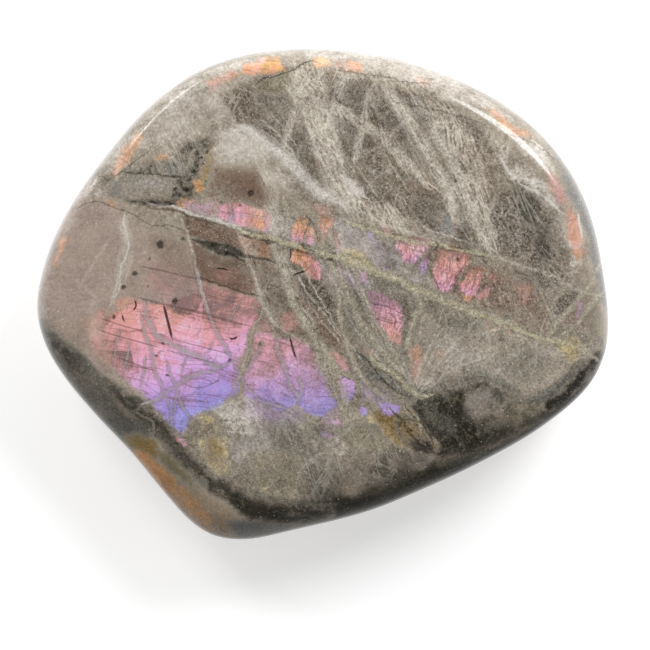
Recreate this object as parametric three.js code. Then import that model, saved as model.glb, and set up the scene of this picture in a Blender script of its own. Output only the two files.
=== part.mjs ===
// A polished freeform of labradorite: one solid stone that lies on its flat back with its flashing face up.
// Millimetres. +Z is up, +X runs to the right of the face and +Y to its top edge. The origin is on the
// surface that the stone lies on, under the middle of its outline.
import * as THREE from "three";

// The widest line round the side, counterclockwise from the top. Each point is x, y and the width of the
// crown there: how far in from the outline the rounded edge runs before it meets the face.
const OUTLINE = [
  [-6.0, 64.8, 8.0],
  [-19.2, 63.3, 6.2],
  [-32.5, 58.7, 4.8],
  [-45.7, 49.3, 5.6],
  [-56.3, 37.3, 6.2],
  [-66.4, 22.8, 5.6],
  [-72.3, 10.0, 5.4],
  [-75.0, -3.5, 6.2],
  [-72.8, -13.5, 8.0],
  [-67.6, -22.3, 10.0],
  [-59.2, -32.4, 12.0],
  [-50.5, -41.6, 12.8],
  [-41.3, -52.8, 12.4],
  [-34.6, -60.1, 11.6],
  [-28.6, -63.8, 10.8],
  [-20.2, -64.8, 9.8],
  [-8.0, -62.4, 8.6],
  [12.0, -57.4, 7.6],
  [26.0, -51.8, 7.0],
  [41.8, -44.4, 6.6],
  [57.6, -35.2, 6.6],
  [70.0, -24.4, 7.0],
  [74.4, -15.4, 6.6],
  [75.2, -7.0, 6.4],
  [73.8, 5.6, 6.6],
  [70.8, 19.8, 7.4],
  [65.6, 31.6, 8.2],
  [57.0, 42.6, 8.6],
  [45.4, 51.4, 8.6],
  [33.6, 57.2, 8.2],
  [18.8, 62.2, 8.0],
  [4.6, 64.4, 8.2],
];

const TOP = 41.0; // height of the face over the middle of the stone
const FACE_DOME = 2.8; // how far the domed face falls by FACE_REACH from its middle
const FACE_REACH = [68.0, 58.0];
const FACE_TILT = [-0.012, -0.01]; // rise per millimetre along x and y: thicker at the lower left
const FACE_WAVE = { height: 0.22, lengths: [112.0, 134.0], phases: [1.0, 2.0] }; // unevenness left by polishing

const GIRDLE = 17.5; // mean height of the outline above the back
const GIRDLE_WAVE = { height: 1.8, turns: 2, phase: 0.6 };
const FLAT_REACH = [53.0, 43.0]; // half length and half width of the oval flat cut across the back

const CROWN_POWER = 2.5; // 2 would be an elliptical edge; more is a steeper side with a tighter turn into the face
const BACK_POWER = 2.1;

// Stations down the stone: shares of the way out over the face, then turns of the crown and of the back.
const SEGMENTS = 120;
const FACE_SHARES = [0, 0.14, 0.3, 0.46, 0.62, 0.76, 0.88, 0.96];
const CROWN_STEPS = 10;
const BACK_STEPS = 9;

// Height of the face, carried on past its edge so that the crown leaves it smoothly.
function faceHeight(x, y) {
  const [reachX, reachY] = FACE_REACH;
  const dome = FACE_DOME * ((x / reachX) ** 2 + (y / reachY) ** 2);
  const [waveX, waveY] = FACE_WAVE.lengths.map((length) => (2 * Math.PI) / length);
  const wave =
    FACE_WAVE.height *
    Math.sin(waveX * x + FACE_WAVE.phases[0]) *
    Math.sin(waveY * y + FACE_WAVE.phases[1]);
  return TOP + FACE_TILT[0] * x + FACE_TILT[1] * y - dome + wave;
}

function girdleHeight(angle) {
  return GIRDLE + GIRDLE_WAVE.height * Math.sin(GIRDLE_WAVE.turns * angle + GIRDLE_WAVE.phase);
}

// The edge of the flat, straight in from the outline at this angle.
function flatEdge(angle) {
  const [reachX, reachY] = FLAT_REACH;
  const reach = 1 / Math.hypot(Math.cos(angle) / reachX, Math.sin(angle) / reachY);
  return new THREE.Vector2(reach * Math.cos(angle), reach * Math.sin(angle));
}

// A quarter of a superellipse: how far in, and how far up, its point at a turn from 0 to a right angle is.
function quarter(turn, power) {
  return {
    inward: 1 - Math.max(Math.cos(turn), 0) ** (2 / power),
    rise: Math.sin(turn) ** (2 / power),
  };
}

// One meridian of the stone, from the middle of the face down the side to the middle of the back.
function meridian(outline, share) {
  const at = outline.getPointAt(share);
  const along = outline.getTangentAt(share);
  const inward = new THREE.Vector2(-along.y, along.x).normalize();
  const angle = Math.atan2(at.y, at.x);
  const crown = at.z;
  const girdle = girdleHeight(angle);
  const flat = flatEdge(angle);

  const points = [];
  const faceEdge = new THREE.Vector2(at.x, at.y).addScaledVector(inward, crown);
  for (const out of FACE_SHARES) {
    const x = faceEdge.x * out;
    const y = faceEdge.y * out;
    points.push(new THREE.Vector3(x, y, faceHeight(x, y)));
  }
  const crownHeight = faceHeight(at.x, at.y) - girdle;
  for (let i = CROWN_STEPS; i >= 0; i--) {
    const edge = quarter((i / CROWN_STEPS) * (Math.PI / 2), CROWN_POWER);
    const x = at.x + inward.x * crown * edge.inward;
    const y = at.y + inward.y * crown * edge.inward;
    points.push(new THREE.Vector3(x, y, faceHeight(x, y) - crownHeight * (1 - edge.rise)));
  }
  for (let i = 1; i <= BACK_STEPS; i++) {
    const edge = quarter((i / BACK_STEPS) * (Math.PI / 2), BACK_POWER);
    const x = THREE.MathUtils.lerp(at.x, flat.x, edge.inward);
    const y = THREE.MathUtils.lerp(at.y, flat.y, edge.inward);
    points.push(new THREE.Vector3(x, y, girdle * (1 - edge.rise)));
  }
  points.push(new THREE.Vector3(0, 0, 0));
  return points;
}

// The stone is a sphere's mesh with each column of vertices laid along one meridian.
function stoneGeometry() {
  const outline = new THREE.CatmullRomCurve3(
    OUTLINE.map(([x, y, crown]) => new THREE.Vector3(x, y, crown)),
    true,
    "centripetal",
  );
  const columns = Array.from({ length: SEGMENTS }, (_, i) => meridian(outline, i / SEGMENTS));
  const rows = columns[0].length;
  const geometry = new THREE.SphereGeometry(1, SEGMENTS, rows - 1);
  const position = geometry.getAttribute("position");
  for (let row = 0; row < rows; row++) {
    for (let column = 0; column <= SEGMENTS; column++) {
      const point = columns[column % SEGMENTS][row];
      position.setXYZ(row * (SEGMENTS + 1) + column, point.x, point.y, point.z);
    }
  }
  geometry.computeVertexNormals();
  return geometry;
}

const stone = new THREE.Mesh(
  stoneGeometry(),
  new THREE.MeshStandardMaterial({ color: 0x8f877c, roughness: 0.12, metalness: 0 }),
);
stone.name = "labradorite_stone";

const part = new THREE.Group();
part.add(stone);

export default part;
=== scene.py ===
import bpy
import numpy as np
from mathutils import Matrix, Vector


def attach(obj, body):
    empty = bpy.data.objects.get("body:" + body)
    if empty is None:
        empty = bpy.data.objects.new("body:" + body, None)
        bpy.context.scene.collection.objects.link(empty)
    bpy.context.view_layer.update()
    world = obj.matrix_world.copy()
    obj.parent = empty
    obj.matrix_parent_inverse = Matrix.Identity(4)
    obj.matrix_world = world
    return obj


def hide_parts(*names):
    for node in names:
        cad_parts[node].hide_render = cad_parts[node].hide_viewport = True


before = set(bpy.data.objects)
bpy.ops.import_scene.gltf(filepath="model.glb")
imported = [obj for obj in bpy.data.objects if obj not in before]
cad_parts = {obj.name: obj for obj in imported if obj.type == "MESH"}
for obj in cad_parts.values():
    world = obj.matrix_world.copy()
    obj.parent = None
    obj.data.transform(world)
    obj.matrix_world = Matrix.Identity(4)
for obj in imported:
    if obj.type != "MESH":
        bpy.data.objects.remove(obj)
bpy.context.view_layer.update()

# The photograph's framing. Markings are placed by its pixels, 0.265 mm each at the stone's widest line.
MM = 1000.0  # per metre
PHOTO_SIDE = 650
MM_PER_PIXEL = 0.265
WIDEST_Z = 17.5
CAMERA_XY = (0.66, -8.2)
CAMERA_RISE = 700.0
SENSOR_MM = 36.0

FACE_FLOOR = 0.033  # m, above which the mesh belongs to the face
FACE_RING = 0.0014  # m, the least width of a ring of the face before it is divided
TOUCHING = 0.00001  # m, within which two points are one
FAR = 60.0  # half widths, past which a line is out of reach
TIP = 0.12  # of a line's width, left at its ends
FLOOR_SIDE = 6.0  # m
FLOOR_GAP = 0.0002  # m, under the stone
RIPPLES = 7  # sine waves in each wandering
ANY_ANGLE = 3.14  # radians, so that pairs of triangles join at any bend

SEED = 7
rng = np.random.default_rng(SEED)


def linear(red, green, blue):
    """A colour as it looks on a screen, 0 to 255, in the linear light that shaders use."""
    parts = np.array([red, green, blue]) / 255
    parts = np.where(parts <= 0.04045, parts / 12.92, ((parts + 0.055) / 1.055) ** 2.4)
    return (*parts.tolist(), 1.0)


# Tones of the stone, all in one place. Milk, steel, slate, pitch and smoke also serve for painted reflection
# and painted shade along the rim.
BEIGE = linear(164, 152, 136)
MAUVE = linear(170, 152, 140)
ASH = linear(126, 118, 104)
PEARL = linear(160, 152, 148)
MILK = linear(214, 206, 197)
UMBER = linear(114, 90, 75)
SMOKE = linear(74, 60, 47)
DUSK = linear(94, 80, 66)
SLATE = linear(96, 95, 86)
STEEL = linear(104, 108, 110)
OLIVE = linear(120, 111, 82)
STRAW = linear(196, 178, 124)
GOLD = linear(142, 116, 56)
RUST = linear(200, 142, 84)
PITCH = linear(42, 41, 32)
BLACK = linear(16, 15, 12)
STRAND = linear(214, 206, 192)
SEAM = linear(208, 200, 172)
NET = linear(148, 116, 116)
VEIN = linear(178, 168, 170)
DUN = linear(172, 163, 140)
TAN = linear(156, 138, 116)
SHADOW = linear(72, 54, 52)
BLUSH = (1.0, 0.92, 0.95, 1.0)
CRYSTAL = (0.86, 0.84, 0.80, 1.0)
FLAKE = (0.78, 0.75, 0.70, 1.0)
PAPER = (0.94, 0.94, 0.94, 1.0)

TONES = {"beige": BEIGE, "mauve": MAUVE, "tan": TAN, "dusk": DUSK, "ash": ASH, "pearl": PEARL, "milk": MILK,
         "umber": UMBER, "smoke": SMOKE, "slate": SLATE, "steel": STEEL, "olive": OLIVE, "straw": STRAW,
         "gold": GOLD, "rust": RUST, "pitch": PITCH, "black": BLACK}

# Colour play, from the shallowest lamellae to the deepest: share of the way, colour.
PLAY = [
    (0.00, linear(255, 202, 116)),
    (0.12, linear(248, 180, 134)),
    (0.24, linear(238, 172, 152)),
    (0.34, linear(242, 172, 172)),
    (0.44, linear(250, 180, 204)),
    (0.54, linear(246, 190, 242)),
    (0.66, linear(212, 168, 234)),
    (0.80, linear(178, 160, 240)),
    (1.00, linear(156, 178, 244)),
]

# Veins: tone, half width and route. They are sheets that run down through the stone. The rim edge lines among
# them are painted shade, not veins.
VEINS = {
    "main seam": ("straw", 2.4, [(236, 228), (250, 233), (280, 241), (310, 250), (341, 258), (360, 264)]),
    "main seam on": ("straw", 3.3, [(310, 250), (341, 258), (360, 264), (382, 275), (401, 281),
        (417, 291), (446, 300), (468, 310), (496, 322)]),
    "seam tail": ("straw", 2.6, [(486, 318), (524, 332), (543, 338), (566, 345), (584, 351)]),
    "seam tail side": ("dun", 2.6, [(480, 312), (503, 320), (542, 336), (579, 348), (602, 362)]),
    "seam head": ("milk", 1.2, [(150, 203), (175, 207), (200, 216), (230, 225), (250, 233)]),
    "upper seam": ("straw", 1.8, [(338, 218), (355, 224), (373, 231), (404, 239), (430, 244), (474, 253),
        (499, 258)]),
    "upper seam tail": ("pale", 1.6, [(474, 253), (499, 258), (531, 269), (562, 281), (585, 292),
        (604, 298)]),
    "right seam": ("dun", 3.0, [(602, 262), (590, 285), (572, 305), (556, 325), (546, 342)]),
    "right bow": ("dun", 2.4, [(606, 292), (590, 305), (578, 322), (560, 338)]),
    "scarp": ("straw", 2.6, [(369, 352), (374, 362), (386, 369), (397, 376), (408, 388), (420, 395),
        (434, 393)]),
    "gold scarp": ("straw", 1.6, [(403, 403), (409, 412), (418, 420), (420, 431)]),
    "net seam": ("pale", 1.6, [(345, 202), (366, 213), (388, 226), (422, 236), (450, 248)]),
    "seam thread": ("pale", 0.9, [(392, 206), (410, 220), (432, 232), (462, 240), (480, 252)]),
    "white plume": ("pale", 4.6, [(128, 216), (123, 226), (127, 240), (122, 258), (121, 276), (116, 290),
        (110, 304)]),
    "plume core": ("milk", 0.8, [(126, 214), (124, 228), (128, 244), (123, 262), (120, 280)]),
    "plume side": ("pale", 2.0, [(124, 232), (131, 246), (130, 262), (126, 280)]),
    "second cross": ("pale", 1.5, [(234, 224), (243, 240), (249, 262), (256, 282), (262, 300), (270, 318),
        (282, 330), (296, 338)]),
    "second cross foot": ("dun", 1.4, [(262, 312), (254, 326), (251, 342), (246, 358), (240, 376),
        (232, 392)]),
    "third cross": ("dun", 3.4, [(270, 240), (279, 262), (287, 282), (292, 300), (300, 318), (312, 335),
        (326, 352), (338, 372), (346, 398), (352, 420)]),
    "third cross light": ("pale", 1.6, [(272, 238), (282, 264), (290, 286), (298, 308), (308, 326)]),
    "tan line": ("pale", 0.8, [(288, 266), (297, 273), (304, 287), (314, 302), (326, 316), (336, 330),
        (343, 342), (350, 356)]),
    "tan line two": ("pale", 0.8, [(310, 306), (322, 322), (334, 336), (344, 348)]),
    "broad cross": ("dun", 4.0, [(322, 232), (329, 262), (345, 285), (357, 316), (370, 336), (386, 354),
        (402, 376), (416, 392)]),
    "middle cross": ("dun", 2.4, [(326, 246), (331, 266), (337, 290), (340, 314), (344, 334), (351, 356),
        (362, 378), (378, 394), (396, 404)]),
    "cross thread": ("pale", 0.9, [(312, 240), (324, 268), (340, 292), (352, 322), (368, 346), (390, 372),
        (412, 396)]),
    "cross thread two": ("pale", 0.8, [(336, 236), (344, 262), (356, 286), (366, 312), (380, 340),
        (398, 366)]),
    "cross thread three": ("pale", 0.8, [(300, 262), (312, 286), (330, 316), (346, 340), (362, 362)]),
    "broad cross edge": ("dun", 1.8, [(356, 276), (368, 304), (380, 330), (394, 352), (406, 374)]),
    "upper left fall": ("pale", 5.2, [(258, 150), (264, 170), (271, 190), (275, 210), (272, 238)]),
    "fall side": ("dun", 2.4, [(284, 196), (288, 210), (286, 226), (282, 240)]),
    "window bar": ("pale", 3.4, [(286, 86), (297, 102), (292, 118), (287, 134), (284, 148)]),
    "window knot": ("pale", 2.2, [(290, 70), (294, 86), (297, 100)]),
    "fine ridge": ("pale", 1.0, [(262, 120), (280, 135), (290, 150), (302, 168)]),
    "fine ridge two": ("pale", 0.8, [(258, 127), (276, 140), (292, 156)]),
    "fine ridge three": ("pale", 0.7, [(270, 112), (284, 128), (296, 146), (300, 160)]),
    "left bundle": ("pale", 8.0, [(296, 66), (300, 91), (306, 108), (314, 132), (323, 156), (336, 180),
        (345, 200), (352, 226)]),
    "mid bundle": ("pale", 7.0, [(318, 72), (322, 100), (328, 130), (338, 160), (350, 190), (358, 214)]),
    "top veil": ("pale", 8.0, [(345, 76), (336, 96), (332, 120), (340, 146)]),
    "bundle crossing": ("pale", 2.6, [(374, 80), (366, 108), (361, 132), (354, 165)]),
    "crossing two": ("mist", 1.4, [(392, 168), (380, 174), (370, 184), (366, 196)]),
    "crossing three": ("mist", 1.2, [(404, 120), (388, 138), (370, 152), (352, 160)]),
    "top ray": ("pale", 1.0, [(344, 78), (342, 98), (341, 118)]),
    "long bundle": ("pale", 6.0, [(380, 84), (396, 104), (412, 130), (430, 160), (450, 196), (462, 228)]),
    "far bundle": ("pale", 5.0, [(412, 96), (428, 122), (446, 152), (462, 186), (476, 220), (490, 250)]),
    "slant strand": ("pale", 3.4, [(330, 100), (352, 118), (368, 130), (382, 140)]),
    "slant strand on": ("pale", 3.0, [(378, 134), (394, 150), (410, 168), (428, 188)]),
    "thin slant": ("pale", 0.9, [(374, 140), (390, 163), (408, 192)]),
    "small slant": ("pale", 0.9, [(352, 158), (364, 178), (378, 196)]),
    "swirl": ("dun", 3.0, [(398, 284), (412, 290), (420, 304), (414, 318), (408, 338), (410, 352),
        (412, 370)]),
    "swirl side": ("dun", 1.3, [(440, 302), (448, 318), (440, 332), (428, 340)]),
    "right fork": ("dun", 1.1, [(546, 350), (541, 335), (548, 312), (560, 294)]),
    "ray one": ("pale", 1.3, [(415, 392), (428, 365), (440, 343), (452, 328)]),
    "ray five": ("pale", 0.8, [(416, 394), (446, 374), (470, 362), (500, 352)]),
    "ray six": ("pale", 0.8, [(414, 390), (424, 362), (436, 330), (446, 304)]),
    "ray seven": ("pale", 0.8, [(418, 392), (452, 356), (484, 334), (506, 328)]),
    "ray two": ("pale", 1.2, [(422, 388), (440, 362), (456, 342), (480, 318)]),
    "ray three": ("pale", 1.0, [(412, 388), (420, 368), (430, 348), (434, 338)]),
    "ray four": ("pale", 0.9, [(430, 386), (450, 368), (478, 345)]),
    "lower right twig": ("pale", 1.0, [(530, 380), (534, 362), (537, 345), (546, 330)]),
    "fork left": ("mist", 2.2, [(287, 412), (281, 425), (276, 438)]),
    "fork right": ("mist", 2.0, [(285, 413), (297, 422), (312, 433), (330, 446), (342, 456)]),
    "lower web": ("mist", 2.4, [(304, 468), (322, 452), (336, 440), (352, 426)]),
    "bevel crack": ("mist", 1.1, [(134, 411), (145, 416), (152, 423), (155, 435), (160, 445),
        (164, 455)]),
    "bevel crack two": ("mist", 1.1, [(134, 411), (142, 405), (150, 402)]),
    "left scratch": ("mist", 1.2, [(108, 238), (98, 258), (88, 272), (78, 288)]),
    "left scratch two": ("mist", 1.2, [(70, 276), (78, 282), (88, 290), (98, 300)]),
    "left glaze": ("mist", 4.0, [(94, 300), (92, 314), (95, 328), (90, 340)]),
    "white ridge": ("milk", 5.0, [(238, 126), (250, 132), (262, 140), (285, 158), (307, 180), (325, 196),
        (342, 205)]),
    "white knot": ("milk", 4.0, [(344, 178), (350, 184), (356, 190), (364, 196)]),
    "ridge dash": ("milk", 1.6, [(500, 157), (508, 169), (518, 179)]),
    "ridge dash two": ("milk", 1.4, [(522, 184), (536, 193), (552, 203), (562, 212)]),
    "flame line": ("milk", 1.0, [(577, 212), (579, 224), (582, 240)]),
    "first cross": ("grey", 1.7, [(196, 268), (200, 283), (206, 305), (212, 322), (220, 338), (228, 352),
        (231, 362)]),
    "first cross head": ("pale", 1.3, [(178, 208), (186, 230), (192, 250), (198, 270), (203, 290),
        (207, 304)]),
    "net one": ("grey", 2.2, [(144, 298), (148, 315), (152, 328), (158, 338), (170, 342), (183, 350),
        (200, 358), (212, 364), (222, 366), (230, 362)]),
    "net two": ("grey", 1.7, [(231, 362), (215, 368), (200, 374), (185, 380), (175, 387), (162, 396),
        (150, 402), (140, 404)]),
    "net three": ("grey", 1.3, [(141, 312), (146, 335), (151, 350), (154, 368), (160, 385), (168, 402),
        (171, 415), (172, 432)]),
    "net four": ("grey", 1.3, [(166, 360), (170, 375), (176, 388), (180, 400), (186, 412), (193, 422)]),
    "net five": ("grey", 1.0, [(119, 330), (115, 348), (112, 365)]),
    "net six": ("grey", 0.9, [(187, 354), (183, 368), (180, 380)]),
    "net seven": ("grey", 0.9, [(130, 345), (126, 362), (122, 375)]),
    "net eight": ("grey", 0.9, [(147, 355), (143, 375), (139, 388)]),
    "net nine": ("grey", 1.0, [(178, 390), (175, 405), (173, 418)]),
    "net ten": ("grey", 0.9, [(240, 302), (232, 315), (228, 323)]),
    "net eleven": ("grey", 0.9, [(214, 342), (208, 350), (203, 356)]),
    "net twelve": ("grey", 1.4, [(233, 364), (240, 374), (245, 386)]),
    "basin web": ("grey", 1.8, [(276, 336), (278, 352), (284, 368), (290, 384), (300, 398)]),
    "basin web two": ("grey", 1.4, [(262, 340), (262, 346), (254, 358), (246, 372)]),
    "basin web three": ("grey", 1.4, [(243, 384), (258, 398), (272, 404), (288, 410), (304, 420)]),
    "basin web four": ("grey", 1.7, [(298, 376), (302, 388), (298, 402)]),
    "basin web five": ("grey", 1.3, [(316, 366), (326, 380), (336, 396), (340, 410)]),
    "strip gap": ("grey", 1.4, [(229, 202), (231, 214), (230, 224)]),
    "left crack": ("faint", 0.7, [(76, 208), (90, 202), (100, 201), (112, 207), (130, 213), (150, 224),
        (168, 226), (186, 232)]),
    "brown crack": ("dark", 1.9, [(190, 238), (200, 240), (215, 244), (235, 249), (246, 255), (262, 260),
        (275, 263)]),
    "brown crack two": ("dark", 1.4, [(224, 252), (232, 255), (240, 259), (246, 260)]),
    "flash roof": ("dark", 0.9, [(200, 278), (222, 285), (240, 291), (260, 297)]),
    "seam shadow": ("faint", 1.2, [(146, 206), (175, 211), (200, 219), (228, 228)]),
    "seam black": ("dark", 1.3, [(299, 244), (306, 248), (316, 252)]),
    "basin edge": ("dark", 1.0, [(350, 350), (360, 356), (372, 366), (382, 380), (398, 392), (412, 399)]),
    "wedge edge": ("faint", 0.8, [(108, 182), (122, 172), (136, 160), (150, 150)]),
    "wedge line": ("dark", 1.5, [(122, 172), (144, 174), (164, 175), (184, 178)]),
    "wedge foot": ("dark", 1.4, [(148, 200), (160, 204), (176, 204)]),
    # Faint dark lines along the upper rim where the crown turns into the face: painted shade, not veins.
    "rim line": ("faint", 0.6, [(340, 71), (372, 75), (400, 80), (430, 86)]),
    "inner rim line": ("faint", 0.6, [(395, 102), (425, 108), (450, 113), (475, 122), (492, 128)]),
    "corner line": ("faint", 0.6, [(510, 135), (528, 142), (545, 151), (560, 162)]),
    "olive hair line": ("dark", 1.2, [(256, 84), (266, 79), (278, 75), (292, 70), (304, 63), (314, 61)]),
    "run crack": ("dark", 1.3, [(434, 242), (437, 246), (432, 252)]),
    "gold crack": ("dark", 1.5, [(390, 408), (401, 420), (408, 432), (420, 444), (432, 450)]),
    "gold crack two": ("dark", 1.3, [(403, 403), (412, 416), (424, 428), (434, 444)]),
    "gold crack three": ("dark", 1.2, [(398, 428), (406, 420), (416, 422)]),
    "run gap one": ("faint", 1.0, [(432, 250), (428, 262), (432, 276), (440, 290)]),
    "run gap two": ("faint", 1.1, [(470, 256), (464, 266), (456, 278), (453, 290)]),
    "rose line": ("faint", 0.8, [(368, 302), (384, 306), (402, 313)]),
    "rose line two": ("faint", 0.7, [(374, 318), (388, 322), (402, 322)]),
    "block line": ("faint", 0.8, [(306, 214), (310, 222), (306, 232), (304, 240)]),
    "block line two": ("faint", 0.8, [(309, 216), (315, 230), (318, 242)]),
    "tail line": ("faint", 0.7, [(336, 380), (346, 376), (352, 382)]),
}

# Thin dark lamellae that cross the big flash, one above the other: half width and route.
LAMELLAE = [
    (0.8, [(140, 266), (165, 272), (198, 279), (212, 283)]),
    (1.4, [(138, 297), (165, 305), (200, 313), (225, 320), (250, 326)]),
    (0.6, [(170, 309), (198, 317), (222, 324)]),
    (0.5, [(204, 295), (222, 299), (240, 302)]),
    (0.8, [(100, 318), (125, 326), (142, 330)]),
    (0.9, [(98, 330), (120, 337), (145, 343), (160, 347)]),
    (0.6, [(176, 340), (205, 347), (228, 353)]),
    (0.6, [(165, 350), (190, 356), (214, 362)]),
    (0.8, [(118, 359), (135, 364), (153, 370)]),
    (0.6, [(182, 384), (196, 388), (208, 386), (222, 378)]),
]

# Short black needles: half width and route.
NEEDLES = [
    (1.4, [(164, 306), (167, 318), (170, 330), (172, 338)]),
    (1.1, [(290, 338), (293, 349), (296, 359)]),
    (1.0, [(293, 275), (299, 273), (306, 271)]),
    (0.8, [(290, 249), (291, 254), (290, 259)]),
    (1.0, [(229, 338), (233, 339), (238, 336)]),
    (0.9, [(135, 300), (136, 306), (133, 311)]),
    (0.9, [(122, 314), (124, 322)]),
    (0.9, [(216, 269), (220, 268), (228, 270)]),
]

# Black specks: centre and radius.
SPECKS = [
    (161, 244, 4.2), (183, 240, 2.4), (135, 273, 2.6), (124, 287, 2.6), (148, 287, 1.8), (176, 290, 1.4),
    (187, 291, 1.6), (176, 301, 3.8), (115, 316, 2.8), (109, 353, 1.5), (155, 355, 1.8), (162, 343, 2.2),
    (168, 375, 1.8), (120, 340, 1.0), (198, 322, 1.4), (221, 268, 1.6), (213, 246, 2.6), (228, 253, 3.4),
    (239, 206, 1.7), (251, 193, 3.0), (458, 259, 2.8), (381, 309, 1.8), (241, 419, 1.8), (388, 465, 1.6),
    (231, 361, 2.2), (222, 366, 1.8), (260, 344, 1.8), (238, 302, 1.4), (230, 307, 1.0), (434, 276, 0.8),
    (176, 188, 2.6), (181, 183, 2.2), (186, 190, 2.8), (180, 195, 2.4), (188, 180, 2.2), (193, 172, 2.4),
    (198, 166, 2.2), (201, 158, 2.4), (207, 152, 2.0), (192, 186, 1.8), (174, 196, 2.0), (205, 146, 2.2),
    (196, 152, 2.4), (188, 160, 1.8), (183, 152, 1.6), (191, 147, 1.8), (152, 166, 1.6), (140, 170, 1.6),
    (160, 163, 1.4), (134, 176, 1.4), (398, 424, 1.8), (404, 418, 1.6), (410, 430, 2.2), (416, 424, 1.8),
    (420, 438, 2.4), (428, 444, 2.2), (408, 444, 1.6), (402, 434, 1.6), (426, 432, 1.6), (392, 416, 1.4),
    (236, 339, 1.6), (120, 373, 1.2), (205, 246, 1.8), (228, 246, 2.4), (150, 260, 1.8), (117, 253, 1.6),
]

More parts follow.
